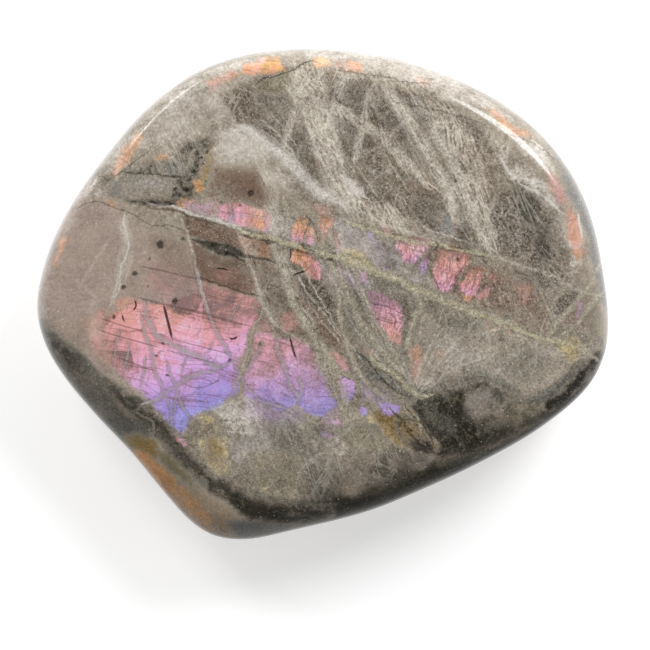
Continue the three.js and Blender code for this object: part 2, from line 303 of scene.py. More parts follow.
# Flashes: hue from and to as shares of PLAY, the heading of that change, feather, strength, outline.
FLASHES = {
    "great flash": (0.27, 0.86, 72, 5, 1.0, [(98, 322), (112, 312), (135, 300), (165, 304), (196, 290),
        (203, 283), (258, 298), (257, 320), (249, 330), (246, 350), (238, 358), (240, 378), (236, 392),
        (224, 402), (205, 411), (190, 418), (186, 430), (180, 434), (170, 424), (156, 408), (148, 398),
        (136, 388), (120, 376), (108, 360), (96, 340)]),
    "upper haze": (0.28, 0.36, 90, 14, 0.42, [(150, 262), (196, 272), (203, 300), (160, 303),
        (148, 285)]),
    "round haze": (0.22, 0.24, 90, 4, 0.6, [(114, 299), (134, 297), (136, 309), (119, 312)]),
    "left haze": (0.24, 0.28, 90, 8, 0.55, [(84, 316), (100, 308), (118, 320), (122, 366), (108, 366),
        (92, 350)]),
    "brown haze": (0.24, 0.3, 90, 8, 0.22, [(204, 262), (260, 276), (258, 292), (206, 280)]),
    "basin": (0.44, 0.8, 90, 4, 0.85, [(254, 334), (270, 332), (276, 340), (300, 338), (312, 350),
        (316, 362), (325, 378), (330, 395), (338, 404), (330, 412), (322, 418), (305, 412), (296, 404),
        (285, 412), (262, 405), (245, 396), (243, 378), (252, 362)]),
    "basin foot": (0.64, 0.7, 90, 12, 0.35, [(245, 402), (280, 404), (302, 410), (300, 420), (268, 424),
        (246, 414)]),
    "basin haze": (0.6, 0.6, 90, 8, 0.2, [(314, 402), (338, 406), (342, 425), (325, 430)]),
    "pink dash": (0.48, 0.48, 0, 1.4, 1.0, [(328, 418), (336, 419), (342, 423), (340, 426), (330, 422)]),
    "haze dash": (0.62, 0.62, 0, 3, 0.4, [(318, 431), (330, 433), (339, 438), (326, 438)]),
    "strip one": (0.46, 0.12, 0, 2.5, 0.95, [(217, 206), (232, 202), (248, 206), (266, 210), (265, 230),
        (250, 229), (236, 226), (220, 218)]),
    "strip end": (0.38, 0.5, 90, 2, 0.8, [(267, 214), (271, 212), (271, 224), (268, 231), (264, 232)]),
    "strip haze": (0.5, 0.46, 0, 6, 0.3, [(180, 203), (216, 202), (220, 217), (200, 214), (184, 208)]),
    "block one": (0.12, 0.44, 90, 2.5, 0.95, [(298, 216), (307, 217), (306, 232), (300, 242), (293, 241),
        (292, 232)]),
    "block one side": (0.16, 0.52, 90, 2.5, 0.9, [(308, 222), (314, 230), (315, 240), (312, 246),
        (304, 243), (306, 234)]),
    "block two": (0.14, 0.28, 90, 3, 0.9, [(320, 214), (334, 219), (330, 232), (324, 243), (317, 242),
        (319, 230)]),
    "block three": (0.3, 0.48, 90, 3, 0.7, [(334, 230), (338, 231), (342, 248), (340, 256), (333, 246)]),
    "block roof": (0.34, 0.3, 90, 4, 0.35, [(312, 205), (326, 206), (335, 215), (320, 214)]),
    "seam pane": (0.13, 0.44, 10, 2.5, 1.0, [(291, 251), (300, 248), (310, 254), (318, 260), (321, 270),
        (320, 280), (312, 279), (302, 268), (292, 262)]),
    "amber shelf": (0.12, 0.16, 0, 5, 0.28, [(236, 234), (262, 241), (272, 248), (270, 259), (245, 254)]),
    "run one": (0.26, 0.48, 90, 3, 1.0, [(396, 240), (410, 236), (432, 238), (430, 246), (421, 256),
        (413, 264), (406, 262), (400, 254), (396, 248)]),
    "run gap": (0.58, 0.76, 90, 2.5, 0.75, [(424, 257), (430, 256), (428, 268), (422, 275), (419, 268)]),
    "run two": (0.28, 0.48, 90, 3, 1.0, [(440, 247), (456, 246), (471, 254), (468, 264), (460, 274),
        (454, 286), (450, 292), (443, 292), (434, 284), (434, 270), (436, 256)]),
    "run three": (0.26, 0.48, 90, 2.5, 1.0, [(478, 266), (484, 268), (483, 278), (477, 290), (474, 296),
        (464, 296), (456, 284), (464, 278), (470, 270)]),
    "run three foot": (0.12, 0.16, 90, 2, 0.9, [(460, 293), (472, 294), (470, 301), (463, 301)]),
    "run four": (0.4, 0.3, 90, 2.5, 0.7, [(486, 284), (490, 284), (490, 298), (478, 302), (476, 294),
        (484, 290)]),
    "run five": (0.26, 0.26, 90, 3, 0.55, [(487, 272), (494, 272), (497, 284), (490, 281)]),
    "run six": (0.2, 0.26, 90, 6, 0.4, [(512, 280), (530, 282), (533, 300), (520, 304)]),
    "rose pane": (0.54, 0.3, 70, 2.5, 0.9, [(366, 292), (376, 290), (386, 296), (400, 306), (404, 322),
        (402, 336), (400, 346), (390, 340), (382, 330), (374, 320), (370, 306)]),
    "rose tail": (0.28, 0.42, 50, 4, 0.7, [(326, 350), (336, 352), (346, 362), (350, 370), (342, 370),
        (330, 360)]),
    "lavender pane": (0.56, 0.76, 90, 2.5, 0.9, [(336, 380), (342, 376), (354, 380), (355, 390),
        (350, 404), (343, 400), (340, 390)]),
    "last violet": (0.66, 0.72, 0, 3, 0.85, [(380, 402), (390, 399), (400, 404), (398, 412), (390, 416),
        (381, 412)]),
    "last haze": (0.7, 0.7, 0, 6, 0.3, [(362, 384), (380, 390), (396, 402), (376, 402), (362, 398)]),
    "violet bead": (0.7, 0.74, 90, 2, 0.85, [(361, 403), (367, 410), (366, 417), (359, 413)]),
    "violet thread": (0.7, 0.72, 90, 3, 0.5, [(369, 228), (375, 240), (380, 253), (374, 255),
        (369, 242)]),
    "violet thread two": (0.6, 0.6, 90, 2, 0.6, [(380, 260), (385, 264), (388, 271), (383, 270)]),
    "pink thread": (0.5, 0.5, 90, 1.6, 0.7, [(338, 265), (341, 265), (343, 276), (339, 277)]),
    "pink thread two": (0.48, 0.48, 90, 1.6, 0.6, [(361, 271), (367, 272), (366, 282), (361, 282)]),
    "seam haze": (0.66, 0.8, 90, 10, 0.06, [(338, 230), (366, 232), (392, 248), (398, 266), (366, 262),
        (342, 250)]),
    "haze under seam": (0.7, 0.7, 90, 6, 0.3, [(328, 268), (352, 276), (372, 284), (360, 290),
        (334, 284)]),
    "amber lip": (0.22, 0.24, 90, 3, 0.5, [(380, 222), (392, 226), (391, 236), (384, 232)]),
    "brown rose": (0.18, 0.22, 90, 4, 0.5, [(410, 346), (420, 345), (424, 355), (420, 372), (416, 384),
        (411, 370), (408, 356)]),
    "brown rose two": (0.18, 0.2, 90, 4, 0.3, [(434, 350), (445, 350), (440, 362)]),
    "brown rose three": (0.16, 0.2, 90, 3, 0.45, [(366, 350), (371, 350), (371, 356), (366, 356)]),
    "rose window": (0.28, 0.3, 90, 5, 0.5, [(280, 314), (294, 312), (297, 326), (288, 332), (280, 326)]),
    "rose window two": (0.36, 0.36, 90, 4, 0.45, [(258, 320), (270, 320), (271, 330), (260, 332)]),
    "rim amber": (0.08, 0.12, 90, 4, 1.0, [(241, 75), (244, 64), (262, 58), (279, 57), (284, 70),
        (268, 74)]),
    "rim yellow": (0.0, 0.02, 90, 2, 1.0, [(275, 64), (281, 64), (281, 71), (276, 71)]),
    "rim salmon": (0.14, 0.16, 90, 5, 0.7, [(205, 82), (232, 70), (238, 76), (212, 90)]),
    "rim spark": (0.0, 0.08, 90, 3, 1.0, [(314, 58), (329, 58), (328, 68), (316, 69)]),
    "rim peach": (0.13, 0.14, 90, 4, 0.8, [(346, 62), (362, 63), (364, 73), (346, 72)]),
    "rim blush": (0.2, 0.2, 90, 5, 0.4, [(333, 60), (342, 60), (342, 70), (333, 70)]),
    "rim far blush": (0.2, 0.2, 90, 5, 0.4, [(412, 76), (425, 76), (429, 86), (414, 83)]),
    "corner peach": (0.11, 0.14, 90, 4, 0.62, [(486, 108), (496, 110), (513, 126), (527, 131), (530, 139),
        (515, 136), (496, 123)]),
    "corner pink": (0.3, 0.24, 90, 5, 0.5, [(546, 168), (556, 176), (567, 196), (566, 206), (556, 202),
        (548, 184)]),
    "right flame": (0.2, 0.09, 90, 6, 0.72, [(566, 206), (574, 214), (582, 236), (584, 252), (580, 262),
        (574, 254), (567, 236)]),
    "right lilac": (0.5, 0.56, 90, 3, 0.4, [(576, 300), (582, 300), (582, 322), (577, 322)]),
    "left peach": (0.11, 0.14, 90, 4, 0.6, [(62, 236), (67, 240), (57, 267), (52, 264)]),
    "upper left peach": (0.08, 0.12, 90, 5, 0.62, [(110, 176), (122, 150), (138, 131), (144, 137),
        (130, 158), (116, 176)]),
    "fallen dash": (0.42, 0.42, 90, 2.4, 0.85, [(177, 438), (183, 440), (190, 446), (184, 446)]),
}

# Where the flashes burn brightest: centre and radius.
CORES = [
    (161, 322, 15), (206, 340, 17), (219, 357, 14), (188, 390, 17), (152, 388, 12), (204, 370, 12),
    (176, 372, 10), (240, 340, 10), (222, 392, 12), (150, 350, 9), (262, 216, 11), (256, 226, 8),
    (303, 258, 12), (300, 236, 11), (324, 230, 9), (411, 250, 12), (424, 245, 9), (446, 280, 12),
    (452, 264, 9), (476, 276, 10), (465, 292, 9), (388, 320, 11), (396, 336, 7), (270, 352, 14),
    (288, 350, 9), (318, 392, 14), (346, 386, 9), (390, 406, 9), (248, 378, 9), (335, 421, 6),
    (258, 66, 14), (279, 67, 8), (322, 62, 8), (354, 67, 8), (505, 124, 14), (576, 244, 10),
]

# Patches of colour, each over those before it: tone, feather, strength, outline. Most are the stone's own
# colour; some along the rim are painted reflection and painted shade, as noted at each.
PATCHES = {
    "left of the stone": ("mauve", 24, 1.0, [(20, 200), (90, 180), (125, 212), (152, 224), (200, 240),
        (205, 276), (262, 300), (262, 420), (150, 420), (100, 380), (60, 350), (20, 330)]),
    "upper left": ("milk", 26, 0.42, [(130, 150), (170, 105), (225, 78), (240, 100), (235, 128),
        (200, 135), (160, 150)]),
    "brown above flash": ("umber", 16, 0.45, [(150, 226), (186, 236), (194, 262), (198, 276), (160, 268),
        (148, 250)]),
    "brown left": ("umber", 14, 0.3, [(140, 262), (196, 272), (203, 298), (150, 298)]),
    "middle ground": ("ash", 9, 0.95, [(238, 226), (330, 256), (420, 290), (424, 310), (410, 350),
        (422, 392), (400, 400), (372, 392), (350, 372), (330, 350), (300, 334), (262, 318), (256, 280)]),
    "seam ground": ("ash", 9, 0.75, [(266, 210), (345, 214), (400, 232), (440, 242), (500, 258),
        (600, 296), (600, 350), (500, 320), (440, 298), (380, 274), (330, 256), (266, 238)]),
    "umber shelf": ("umber", 8, 0.95, [(182, 211), (215, 221), (250, 233), (274, 241), (274, 262),
        (250, 259), (222, 250), (196, 240), (184, 230)]),
    "brown pane": ("umber", 8, 1.0, [(192, 240), (225, 250), (264, 262), (264, 297), (235, 291),
        (200, 279), (195, 262)]),
    "brown pane dusk": ("smoke", 12, 0.4, [(200, 250), (262, 266), (262, 282), (205, 268)]),
    "shelf dark": ("pitch", 5, 0.7, [(191, 238), (215, 242), (240, 250), (247, 259), (225, 259),
        (200, 248)]),
    "strip roof": ("umber", 18, 0.66, [(198, 188), (212, 164), (240, 170), (268, 180), (276, 208),
        (248, 208), (226, 202)]),
    "below oval": ("umber", 16, 0.5, [(226, 172), (262, 172), (290, 188), (302, 214), (292, 216),
        (268, 206), (240, 196)]),
    "middle brown": ("umber", 8, 1.0, [(250, 256), (285, 272), (300, 276), (324, 282), (338, 312),
        (352, 350), (332, 346), (300, 336), (268, 334), (252, 312)]),
    "middle smoke": ("smoke", 7, 0.95, [(298, 272), (324, 280), (336, 308), (332, 326), (312, 306),
        (300, 292)]),
    "middle smoke two": ("smoke", 8, 0.6, [(252, 266), (276, 274), (290, 300), (296, 330), (268, 326),
        (254, 300)]),
    "middle smoke three": ("smoke", 6, 0.8, [(324, 312), (338, 314), (336, 330), (326, 326)]),
    "pearl": ("pearl", 14, 0.85, [(335, 215), (352, 222), (395, 245), (405, 268), (440, 287), (400, 277),
        (365, 264), (345, 250), (337, 235)]),
    "pearl two": ("pearl", 7, 0.75, [(264, 206), (290, 216), (292, 242), (270, 236)]),
    "pearl three": ("pearl", 6, 0.8, [(178, 206), (216, 216), (232, 226), (206, 218)]),
    "pearl four": ("pearl", 10, 0.5, [(318, 262), (345, 270), (372, 282), (345, 290), (322, 282)]),
    "grey fall": ("pearl", 8, 0.5, [(272, 246), (284, 250), (300, 280), (292, 300), (280, 280)]),
    "slate zone": ("slate", 8, 1.0, [(342, 288), (356, 286), (368, 304), (380, 334), (394, 362),
        (382, 362), (362, 342), (348, 320)]),
    "slate zone heart": ("pitch", 8, 0.62, [(350, 296), (362, 306), (376, 336), (382, 354), (368, 342),
        (354, 318)]),
    "slate low": ("slate", 7, 0.85, [(352, 346), (380, 364), (400, 384), (414, 396), (398, 394),
        (372, 382), (354, 364)]),
    "rose shade": ("smoke", 6, 0.7, [(384, 288), (410, 294), (412, 316), (406, 350), (398, 350),
        (404, 322), (396, 304)]),
    "right of seams": ("umber", 18, 0.7, [(492, 264), (545, 272), (582, 290), (594, 330), (575, 345),
        (540, 337), (505, 318), (484, 304)]),
    "run shade": ("umber", 8, 0.9, [(424, 240), (470, 248), (502, 262), (536, 276), (532, 306),
        (500, 306), (470, 303), (436, 290), (426, 264)]),
    "run smoke": ("smoke", 6, 0.5, [(436, 240), (470, 248), (500, 262), (530, 276), (500, 272),
        (468, 262), (438, 250)]),
    "right smoke": ("smoke", 6, 1.0, [(556, 300), (570, 284), (584, 284), (576, 298), (562, 316),
        (552, 314)]),
    "right smoke two": ("smoke", 6, 0.7, [(550, 322), (590, 333), (600, 346), (575, 346)]),
    "lace": ("olive", 14, 0.55, [(345, 195), (385, 200), (425, 225), (430, 240), (385, 233), (350, 216)]),
    "lace brown": ("umber", 6, 0.9, [(378, 216), (394, 222), (396, 238), (382, 233)]),
    "upper dusk": ("dusk", 14, 1.0, [(222, 96), (262, 76), (300, 68), (350, 76), (400, 88), (448, 104),
        (500, 150), (548, 200), (572, 250), (584, 290), (520, 268), (470, 252), (400, 228), (352, 214),
        (312, 186), (275, 158), (240, 126)]),
    "window one": ("smoke", 9, 0.7, [(254, 92), (262, 86), (276, 84), (293, 84), (294, 100), (290, 112),
        (272, 110), (258, 104)]),
    "window one foot": ("smoke", 8, 0.5, [(258, 108), (290, 112), (290, 140), (276, 132), (262, 120)]),
    "window two": ("smoke", 6, 0.95, [(291, 122), (300, 124), (309, 128), (312, 140), (310, 152),
        (304, 170), (298, 160), (290, 146)]),
    "window two heart": ("pitch", 5, 0.35, [(296, 134), (306, 134), (308, 150), (302, 162), (296, 150)]),
    "ridge shade": ("smoke", 6, 0.85, [(255, 120), (268, 127), (286, 145), (301, 166), (307, 178),
        (296, 171), (275, 151), (259, 137)]),
    "gap one": ("smoke", 9, 0.6, [(315, 150), (322, 150), (332, 172), (332, 190), (324, 184),
        (318, 168)]),
    "gap two": ("smoke", 9, 0.5, [(328, 112), (338, 112), (340, 150), (334, 160), (330, 140)]),
    "gap two east": ("smoke", 4, 0.5, [(341, 150), (348, 150), (352, 176), (346, 178)]),
    "window four": ("smoke", 9, 0.75, [(336, 84), (352, 82), (373, 87), (370, 106), (352, 106),
        (342, 98)]),
    "window five": ("smoke", 9, 0.8, [(376, 96), (390, 95), (403, 108), (409, 128), (408, 146),
        (398, 144), (390, 126), (376, 112)]),
    "window seven": ("smoke", 7, 0.75, [(346, 127), (362, 128), (359, 148), (347, 147)]),
    "window six": ("smoke", 9, 0.8, [(361, 151), (378, 150), (391, 162), (391, 190), (380, 197),
        (370, 188), (362, 172)]),
    "gap three": ("smoke", 9, 0.5, [(392, 146), (410, 146), (426, 164), (432, 180), (416, 178),
        (398, 164)]),
    "gap four": ("smoke", 9, 0.4, [(406, 106), (416, 112), (434, 140), (436, 152), (424, 142),
        (410, 124)]),
    "gap five": ("umber", 5, 0.8, [(405, 179), (416, 181), (417, 191), (407, 191)]),
    "window eight": ("smoke", 9, 0.85, [(410, 200), (432, 201), (448, 214), (454, 236), (438, 236),
        (414, 222)]),
    "window eight heart": ("pitch", 5, 0.4, [(420, 206), (436, 208), (444, 222), (430, 224)]),
    "window eight end": ("steel", 7, 0.6, [(438, 212), (452, 219), (457, 237), (440, 235)]),
    "window nine": ("smoke", 5, 0.8, [(447, 113), (463, 115), (459, 129), (447, 126)]),
    "great window": ("smoke", 8, 0.95, [(486, 208), (498, 198), (512, 186), (524, 180), (538, 192),
        (550, 208), (558, 226), (559, 262), (568, 278), (545, 286), (525, 266), (504, 258), (490, 238)]),
    "great window core": ("pitch", 7, 0.7, [(514, 190), (528, 186), (541, 200), (546, 220), (528, 230),
        (515, 214)]),
    "great window east": ("pitch", 6, 0.7, [(536, 224), (551, 226), (554, 268), (542, 266), (532, 244)]),
    "great window foot": ("smoke", 10, 0.6, [(508, 268), (560, 270), (577, 286), (540, 293), (513, 286)]),
    "east steel": ("steel", 10, 0.5, [(551, 208), (566, 214), (570, 240), (558, 236)]),
    "window eleven": ("smoke", 9, 0.7, [(495, 174), (507, 177), (509, 199), (498, 197)]),
    "window twelve": ("smoke", 9, 0.5, [(474, 160), (484, 164), (490, 194), (480, 194)]),
    "swirl heart": ("pitch", 8, 0.5, [(428, 300), (441, 301), (444, 314), (432, 316)]),
    "lower right pearl": ("pearl", 20, 0.4, [(430, 340), (470, 335), (500, 350), (560, 350), (540, 385),
        (450, 380), (425, 380)]),
    "fan dusk": ("ash", 14, 0.8, [(446, 302), (484, 314), (500, 330), (470, 334), (440, 344),
        (432, 326)]),
    "fan dusk two": ("ash", 12, 0.7, [(500, 346), (530, 340), (552, 366), (520, 384), (496, 372)]),
    "fan dusk three": ("slate", 10, 0.4, [(424, 330), (440, 336), (430, 372), (418, 384)]),
    "fan dusk four": ("ash", 12, 0.7, [(440, 376), (470, 366), (486, 376), (450, 392), (430, 398)]),
    "sand": ("rust", 10, 0.3, [(482, 310), (515, 312), (514, 334), (488, 334)]),
    "sand two": ("rust", 8, 0.22, [(462, 338), (490, 340), (488, 354), (466, 352)]),
    "ash slope": ("ash", 12, 1.0, [(203, 414), (240, 398), (262, 404), (300, 420), (340, 425), (380, 420),
        (405, 428), (433, 452), (430, 474), (380, 490), (330, 500), (290, 499), (250, 492), (225, 480),
        (203, 455)]),
    "pale hump": ("milk", 20, 0.66, [(210, 408), (245, 398), (268, 412), (258, 436), (222, 444)]),
    "grey hump": ("pearl", 18, 0.6, [(225, 435), (262, 425), (285, 440), (270, 465), (236, 470)]),
    "slope slate": ("slate", 14, 0.8, [(270, 424), (286, 418), (322, 446), (332, 466), (300, 470),
        (276, 450)]),
    "slope dark": ("pitch", 16, 0.34, [(280, 434), (304, 430), (326, 450), (322, 468), (290, 464)]),
    "dusk low": ("slate", 18, 0.85, [(280, 462), (330, 456), (360, 474), (380, 496), (320, 504),
        (270, 494)]),
    "dusk low heart": ("pitch", 20, 0.55, [(300, 470), (336, 466), (366, 482), (372, 496), (320, 502),
        (290, 492)]),
    "dusk right": ("slate", 18, 0.9, [(350, 446), (400, 446), (436, 456), (430, 484), (390, 500),
        (352, 490)]),
    "dusk right heart": ("pitch", 20, 0.62, [(352, 456), (400, 450), (430, 458), (420, 482), (366, 494)]),
    "dusk edge": ("pitch", 16, 0.6, [(330, 492), (380, 482), (420, 466), (440, 470), (430, 492),
        (380, 506), (334, 512)]),
    "web light": ("milk", 12, 0.34, [(312, 434), (346, 440), (354, 458), (330, 466), (308, 458)]),
    "olive slope": ("olive", 16, 0.6, [(246, 452), (300, 456), (300, 497), (258, 488)]),
    "olive right": ("olive", 12, 0.45, [(344, 426), (400, 428), (412, 450), (370, 456), (350, 446)]),
    "sand bit": ("rust", 6, 0.35, [(342, 484), (356, 482), (358, 496), (344, 498)]),
    "mass edge": ("slate", 10, 0.9, [(404, 396), (430, 386), (450, 378), (480, 370), (504, 378),
        (522, 394), (552, 388), (572, 370), (588, 350), (604, 344), (616, 352), (600, 386), (540, 430),
        (450, 470), (420, 470)]),
    "lower right mass": ("pitch", 10, 0.85, [(404, 403), (434, 396), (450, 390), (465, 385), (478, 380),
        (490, 379), (500, 388), (508, 400), (524, 407), (540, 403), (556, 396), (572, 382), (587, 364),
        (598, 350), (616, 352), (606, 386), (574, 418), (524, 448), (484, 470), (440, 490), (420, 486),
        (430, 460), (432, 446), (420, 428), (410, 414)]),
    "mass heart": ("pitch", 12, 0.55, [(426, 402), (450, 392), (484, 384), (506, 400), (556, 396),
        (584, 372), (592, 372), (560, 400), (516, 430), (470, 454), (440, 462), (438, 430)]),
    "mass olive": ("olive", 12, 0.5, [(494, 402), (548, 400), (552, 410), (520, 428), (488, 430)]),
    "grey spot": ("pearl", 9, 0.62, [(466, 391), (490, 387), (501, 402), (488, 415), (478, 423),
        (465, 412)]),
    "mass rim": ("slate", 8, 0.35, [(432, 456), (470, 448), (500, 440), (540, 418), (548, 420),
        (500, 448), (440, 476)]),
    "lower edge": ("pitch", 8, 1.0, [(340, 506), (400, 494), (440, 478), (470, 462), (520, 438),
        (560, 412), (590, 384), (604, 350), (620, 352), (612, 390), (576, 426), (500, 470), (440, 496),
        (390, 520), (330, 534)]),
    "olive stain": ("straw", 12, 0.62, [(200, 418), (213, 415), (226, 440), (230, 468), (215, 476),
        (202, 458), (197, 440)]),
    "stain core": ("gold", 10, 0.55, [(203, 428), (214, 424), (222, 446), (222, 464), (210, 462),
        (203, 446)]),
    "straw shelf": ("straw", 7, 0.5, [(364, 411), (398, 411), (402, 426), (385, 427), (367, 421)]),
    "gold grain": ("gold", 5, 1.0, [(372, 412), (390, 402), (406, 402), (416, 412), (424, 428),
        (438, 446), (432, 456), (408, 450), (388, 438)]),
    "gold light": ("straw", 5, 0.5, [(386, 404), (402, 402), (412, 410), (416, 420), (410, 424),
        (398, 414)]),
    "gold dark": ("pitch", 4, 0.42, [(396, 410), (416, 416), (434, 440), (432, 456), (412, 452),
        (394, 436)]),
    "gold again": ("gold", 4, 0.5, [(400, 414), (414, 418), (430, 440), (426, 450), (410, 440),
        (398, 426)]),
    "gold foot": ("pitch", 3, 0.7, [(408, 440), (424, 438), (434, 446), (434, 455), (416, 453)]),
    "right straw": ("straw", 8, 0.8, [(562, 338), (580, 337), (583, 356), (573, 363), (560, 350)]),
    "right pale": ("milk", 6, 0.5, [(580, 344), (593, 341), (593, 357), (582, 361)]),
    "seam knot": ("straw", 6, 0.9, [(340, 250), (356, 249), (367, 257), (373, 268), (354, 267),
        (341, 260)]),
    # The dark band of the lower left bevel: partly the stone's own dark tone, partly painted shade where the
    # bevel faces down, with painted dark reflection.
    "lower left slate with painted shade": ("slate", 9, 1.0, [(34, 316), (60, 338), (78, 350), (92, 365), (110, 382),
        (132, 392), (156, 411), (178, 436), (196, 454), (216, 474), (238, 492), (222, 502), (196, 486),
        (172, 460), (150, 438), (128, 452), (92, 420), (50, 370)]),
    "dark band start with painted shade": ("pitch", 8, 0.6, [(46, 336), (62, 342), (78, 354), (84, 374), (72, 376),
        (56, 356)]),
    "lower left pitch band with painted shade": ("pitch", 12, 0.8, [(100, 376), (112, 384), (132, 394), (154, 411), (174, 434),
        (190, 450), (206, 466), (212, 484), (198, 478), (180, 460), (160, 440), (138, 420), (116, 404)]),
    "band brown": ("gold", 8, 0.75, [(120, 436), (140, 434), (158, 440), (166, 456), (150, 462),
        (130, 454)]),
    "lobe olive": ("olive", 9, 0.8, [(156, 448), (174, 458), (196, 482), (206, 496), (192, 494),
        (166, 470)]),
    "edge rust": ("rust", 8, 1.0, [(132, 450), (146, 454), (164, 470), (178, 486), (192, 506), (170, 506),
        (136, 466)]),
    "lobe brown": ("tan", 12, 0.95, [(176, 486), (200, 490), (222, 506), (244, 516), (252, 526),
        (240, 546), (200, 530), (172, 500)]),
    "lobe edge": ("rust", 9, 0.5, [(160, 476), (178, 482), (200, 506), (222, 526), (208, 536),
        (176, 506)]),
    "lobe grey": ("steel", 8, 0.75, [(228, 520), (250, 516), (290, 520), (310, 524), (270, 540),
        (236, 540)]),
    "bottom shade": ("pitch", 10, 0.45, [(226, 482), (260, 490), (300, 494), (345, 496), (350, 508),
        (300, 510), (250, 504), (228, 494)]),
    "bottom band": ("pitch", 8, 0.85, [(206, 476), (226, 478), (238, 490), (252, 500), (272, 504),
        (300, 504), (322, 503), (348, 503), (350, 514), (325, 522), (300, 524), (270, 523), (248, 519),
        (236, 511), (224, 501), (208, 492)]),
    "band core": ("black", 7, 0.55, [(288, 506), (318, 504), (340, 507), (334, 517), (304, 520),
        (288, 516)]),
    "band blot": ("black", 7, 0.5, [(213, 479), (226, 480), (235, 490), (228, 497), (215, 491)]),
    "bottom slate": ("pitch", 9, 0.7, [(345, 502), (375, 495), (400, 486), (420, 477), (440, 470),
        (466, 458), (470, 470), (440, 484), (420, 492), (395, 500), (370, 508), (348, 514)]),
    "olive line": ("straw", 3, 0.4, [(262, 488), (285, 490), (302, 495), (300, 499), (276, 497),
        (258, 493)]),
    "bevel black": ("black", 5, 0.7, [(542, 404), (568, 386), (586, 364), (597, 350), (603, 356),
        (590, 378), (570, 398), (546, 414)]),
    # A lighter slate stripe along the lower right bevel: painted reflection.
    "painted reflection on the lower right bevel": ("slate", 5, 0.6, [(538, 397), (560, 379), (578, 359), (584, 362), (566, 384),
        (544, 400)]),
    "wedge": ("ash", 9, 0.8, [(98, 190), (128, 172), (150, 160), (190, 140), (213, 137), (214, 160),
        (206, 182), (198, 198), (180, 205), (150, 204), (118, 200)]),
    "wedge grey": ("pearl", 9, 0.45, [(118, 184), (150, 180), (178, 182), (172, 198), (140, 200),
        (118, 195)]),
    "wedge back": ("pitch", 5, 0.55, [(122, 171), (150, 165), (172, 157), (188, 142), (212, 134),
        (214, 146), (200, 160), (190, 168), (170, 172), (140, 176)]),
    "wedge steel": ("steel", 8, 0.85, [(162, 160), (184, 154), (195, 165), (184, 179), (162, 178)]),
    "wedge heart": ("pitch", 9, 0.45, [(166, 162), (184, 157), (192, 167), (182, 176), (166, 176)]),
    "wedge blue": ("steel", 6, 0.5, [(102, 184), (116, 180), (122, 192), (108, 197)]),
    "wedge foot dark": ("pitch", 4, 0.8, [(120, 197), (150, 200), (180, 200), (182, 208), (160, 207),
        (130, 204)]),
    "wedge olive": ("olive", 6, 0.9, [(192, 152), (212, 140), (215, 165), (207, 183), (200, 196),
        (188, 199), (184, 184), (188, 168)]),
    "wedge side": ("pitch", 5, 0.78, [(171, 184), (184, 175), (192, 164), (198, 150), (211, 142),
        (213, 152), (203, 166), (198, 178), (194, 188), (192, 198), (181, 202), (172, 197)]),
    "wedge gold": ("gold", 4, 0.6, [(202, 150), (213, 144), (214, 164), (207, 180), (199, 178),
        (198, 164)]),
    "wedge black": ("black", 4, 0.5, [(174, 186), (186, 178), (194, 168), (202, 156), (208, 150),
        (207, 160), (198, 172), (194, 184), (186, 196), (176, 194)]),
    "wedge sand": ("rust", 6, 0.42, [(154, 152), (171, 148), (172, 160), (156, 163)]),
    "wedge rust": ("rust", 2, 1.0, [(174, 203), (180, 199), (193, 198), (194, 203), (184, 208),
        (176, 208)]),
    "wedge rust two": ("rust", 2.5, 0.9, [(192, 181), (200, 179), (204, 188), (198, 193), (193, 189)]),
    "wedge rust three": ("rust", 4, 0.45, [(103, 199), (113, 199), (117, 208), (110, 208)]),
    "olive hair": ("olive", 5, 0.8, [(250, 87), (262, 80), (275, 76), (293, 70), (295, 79), (289, 91),
        (275, 96), (262, 93)]),
    "olive hair end": ("olive", 4, 0.6, [(292, 68), (312, 58), (316, 64), (298, 74)]),
    "milky oval": ("milk", 16, 0.46, [(214, 128), (240, 127), (259, 142), (264, 160), (248, 173),
        (228, 167), (214, 152)]),
    "oval sheen": ("milk", 12, 0.16, [(222, 130), (242, 130), (256, 144), (256, 158), (240, 162),
        (224, 152)]),
    "ridge slope": ("milk", 10, 0.35, [(262, 150), (290, 168), (332, 205), (300, 200), (270, 180)]),
    "band light": ("milk", 22, 0.16, [(440, 110), (480, 140), (500, 170), (492, 250), (470, 246),
        (452, 190), (430, 140)]),
    # Pale milk along the upper, left and upper right rims: painted reflection, a bright veil over the polish.
    "painted rim reflection down the right rim": ("milk", 12, 0.42, [(548, 196), (562, 208), (580, 250), (588, 284), (572, 280),
        (560, 240)]),
    "painted rim reflection round the corner": ("milk", 12, 0.6, [(496, 140), (520, 156), (548, 186), (560, 208), (548, 204),
        (520, 184), (500, 166)]),
    "painted rim reflection along the top": ("milk", 6, 0.52, [(296, 44), (345, 46), (392, 52), (440, 72), (480, 94), (518, 122),
        (548, 154), (562, 182), (548, 176), (520, 150), (495, 128), (470, 112), (440, 98), (400, 81),
        (365, 73), (345, 71), (310, 62)]),
    "painted rim reflection upper left": ("milk", 8, 0.4, [(80, 196), (118, 144), (170, 88), (224, 62), (292, 44),
        (296, 54), (230, 76), (180, 106), (134, 156), (98, 202)]),
    "painted rim reflection on the left": ("milk", 7, 0.2, [(36, 320), (40, 280), (56, 232), (82, 192), (94, 200), (70, 240),
        (54, 286), (48, 324)]),
    # A steel band down the right side: painted dark reflection.
    "painted dark reflection down the right side": ("steel", 7, 0.7, [(552, 150), (575, 178), (594, 220), (608, 280), (612, 320),
        (600, 300), (592, 262), (580, 218), (560, 178)]),
}

# Tones that mottle the sides and the back, with their shares, and how fibrous the stone is there.
SIDE = {"ash": 0.55, "umber": 0.30, "dusk": 0.30}
SIDE_FIBRE = 0.7

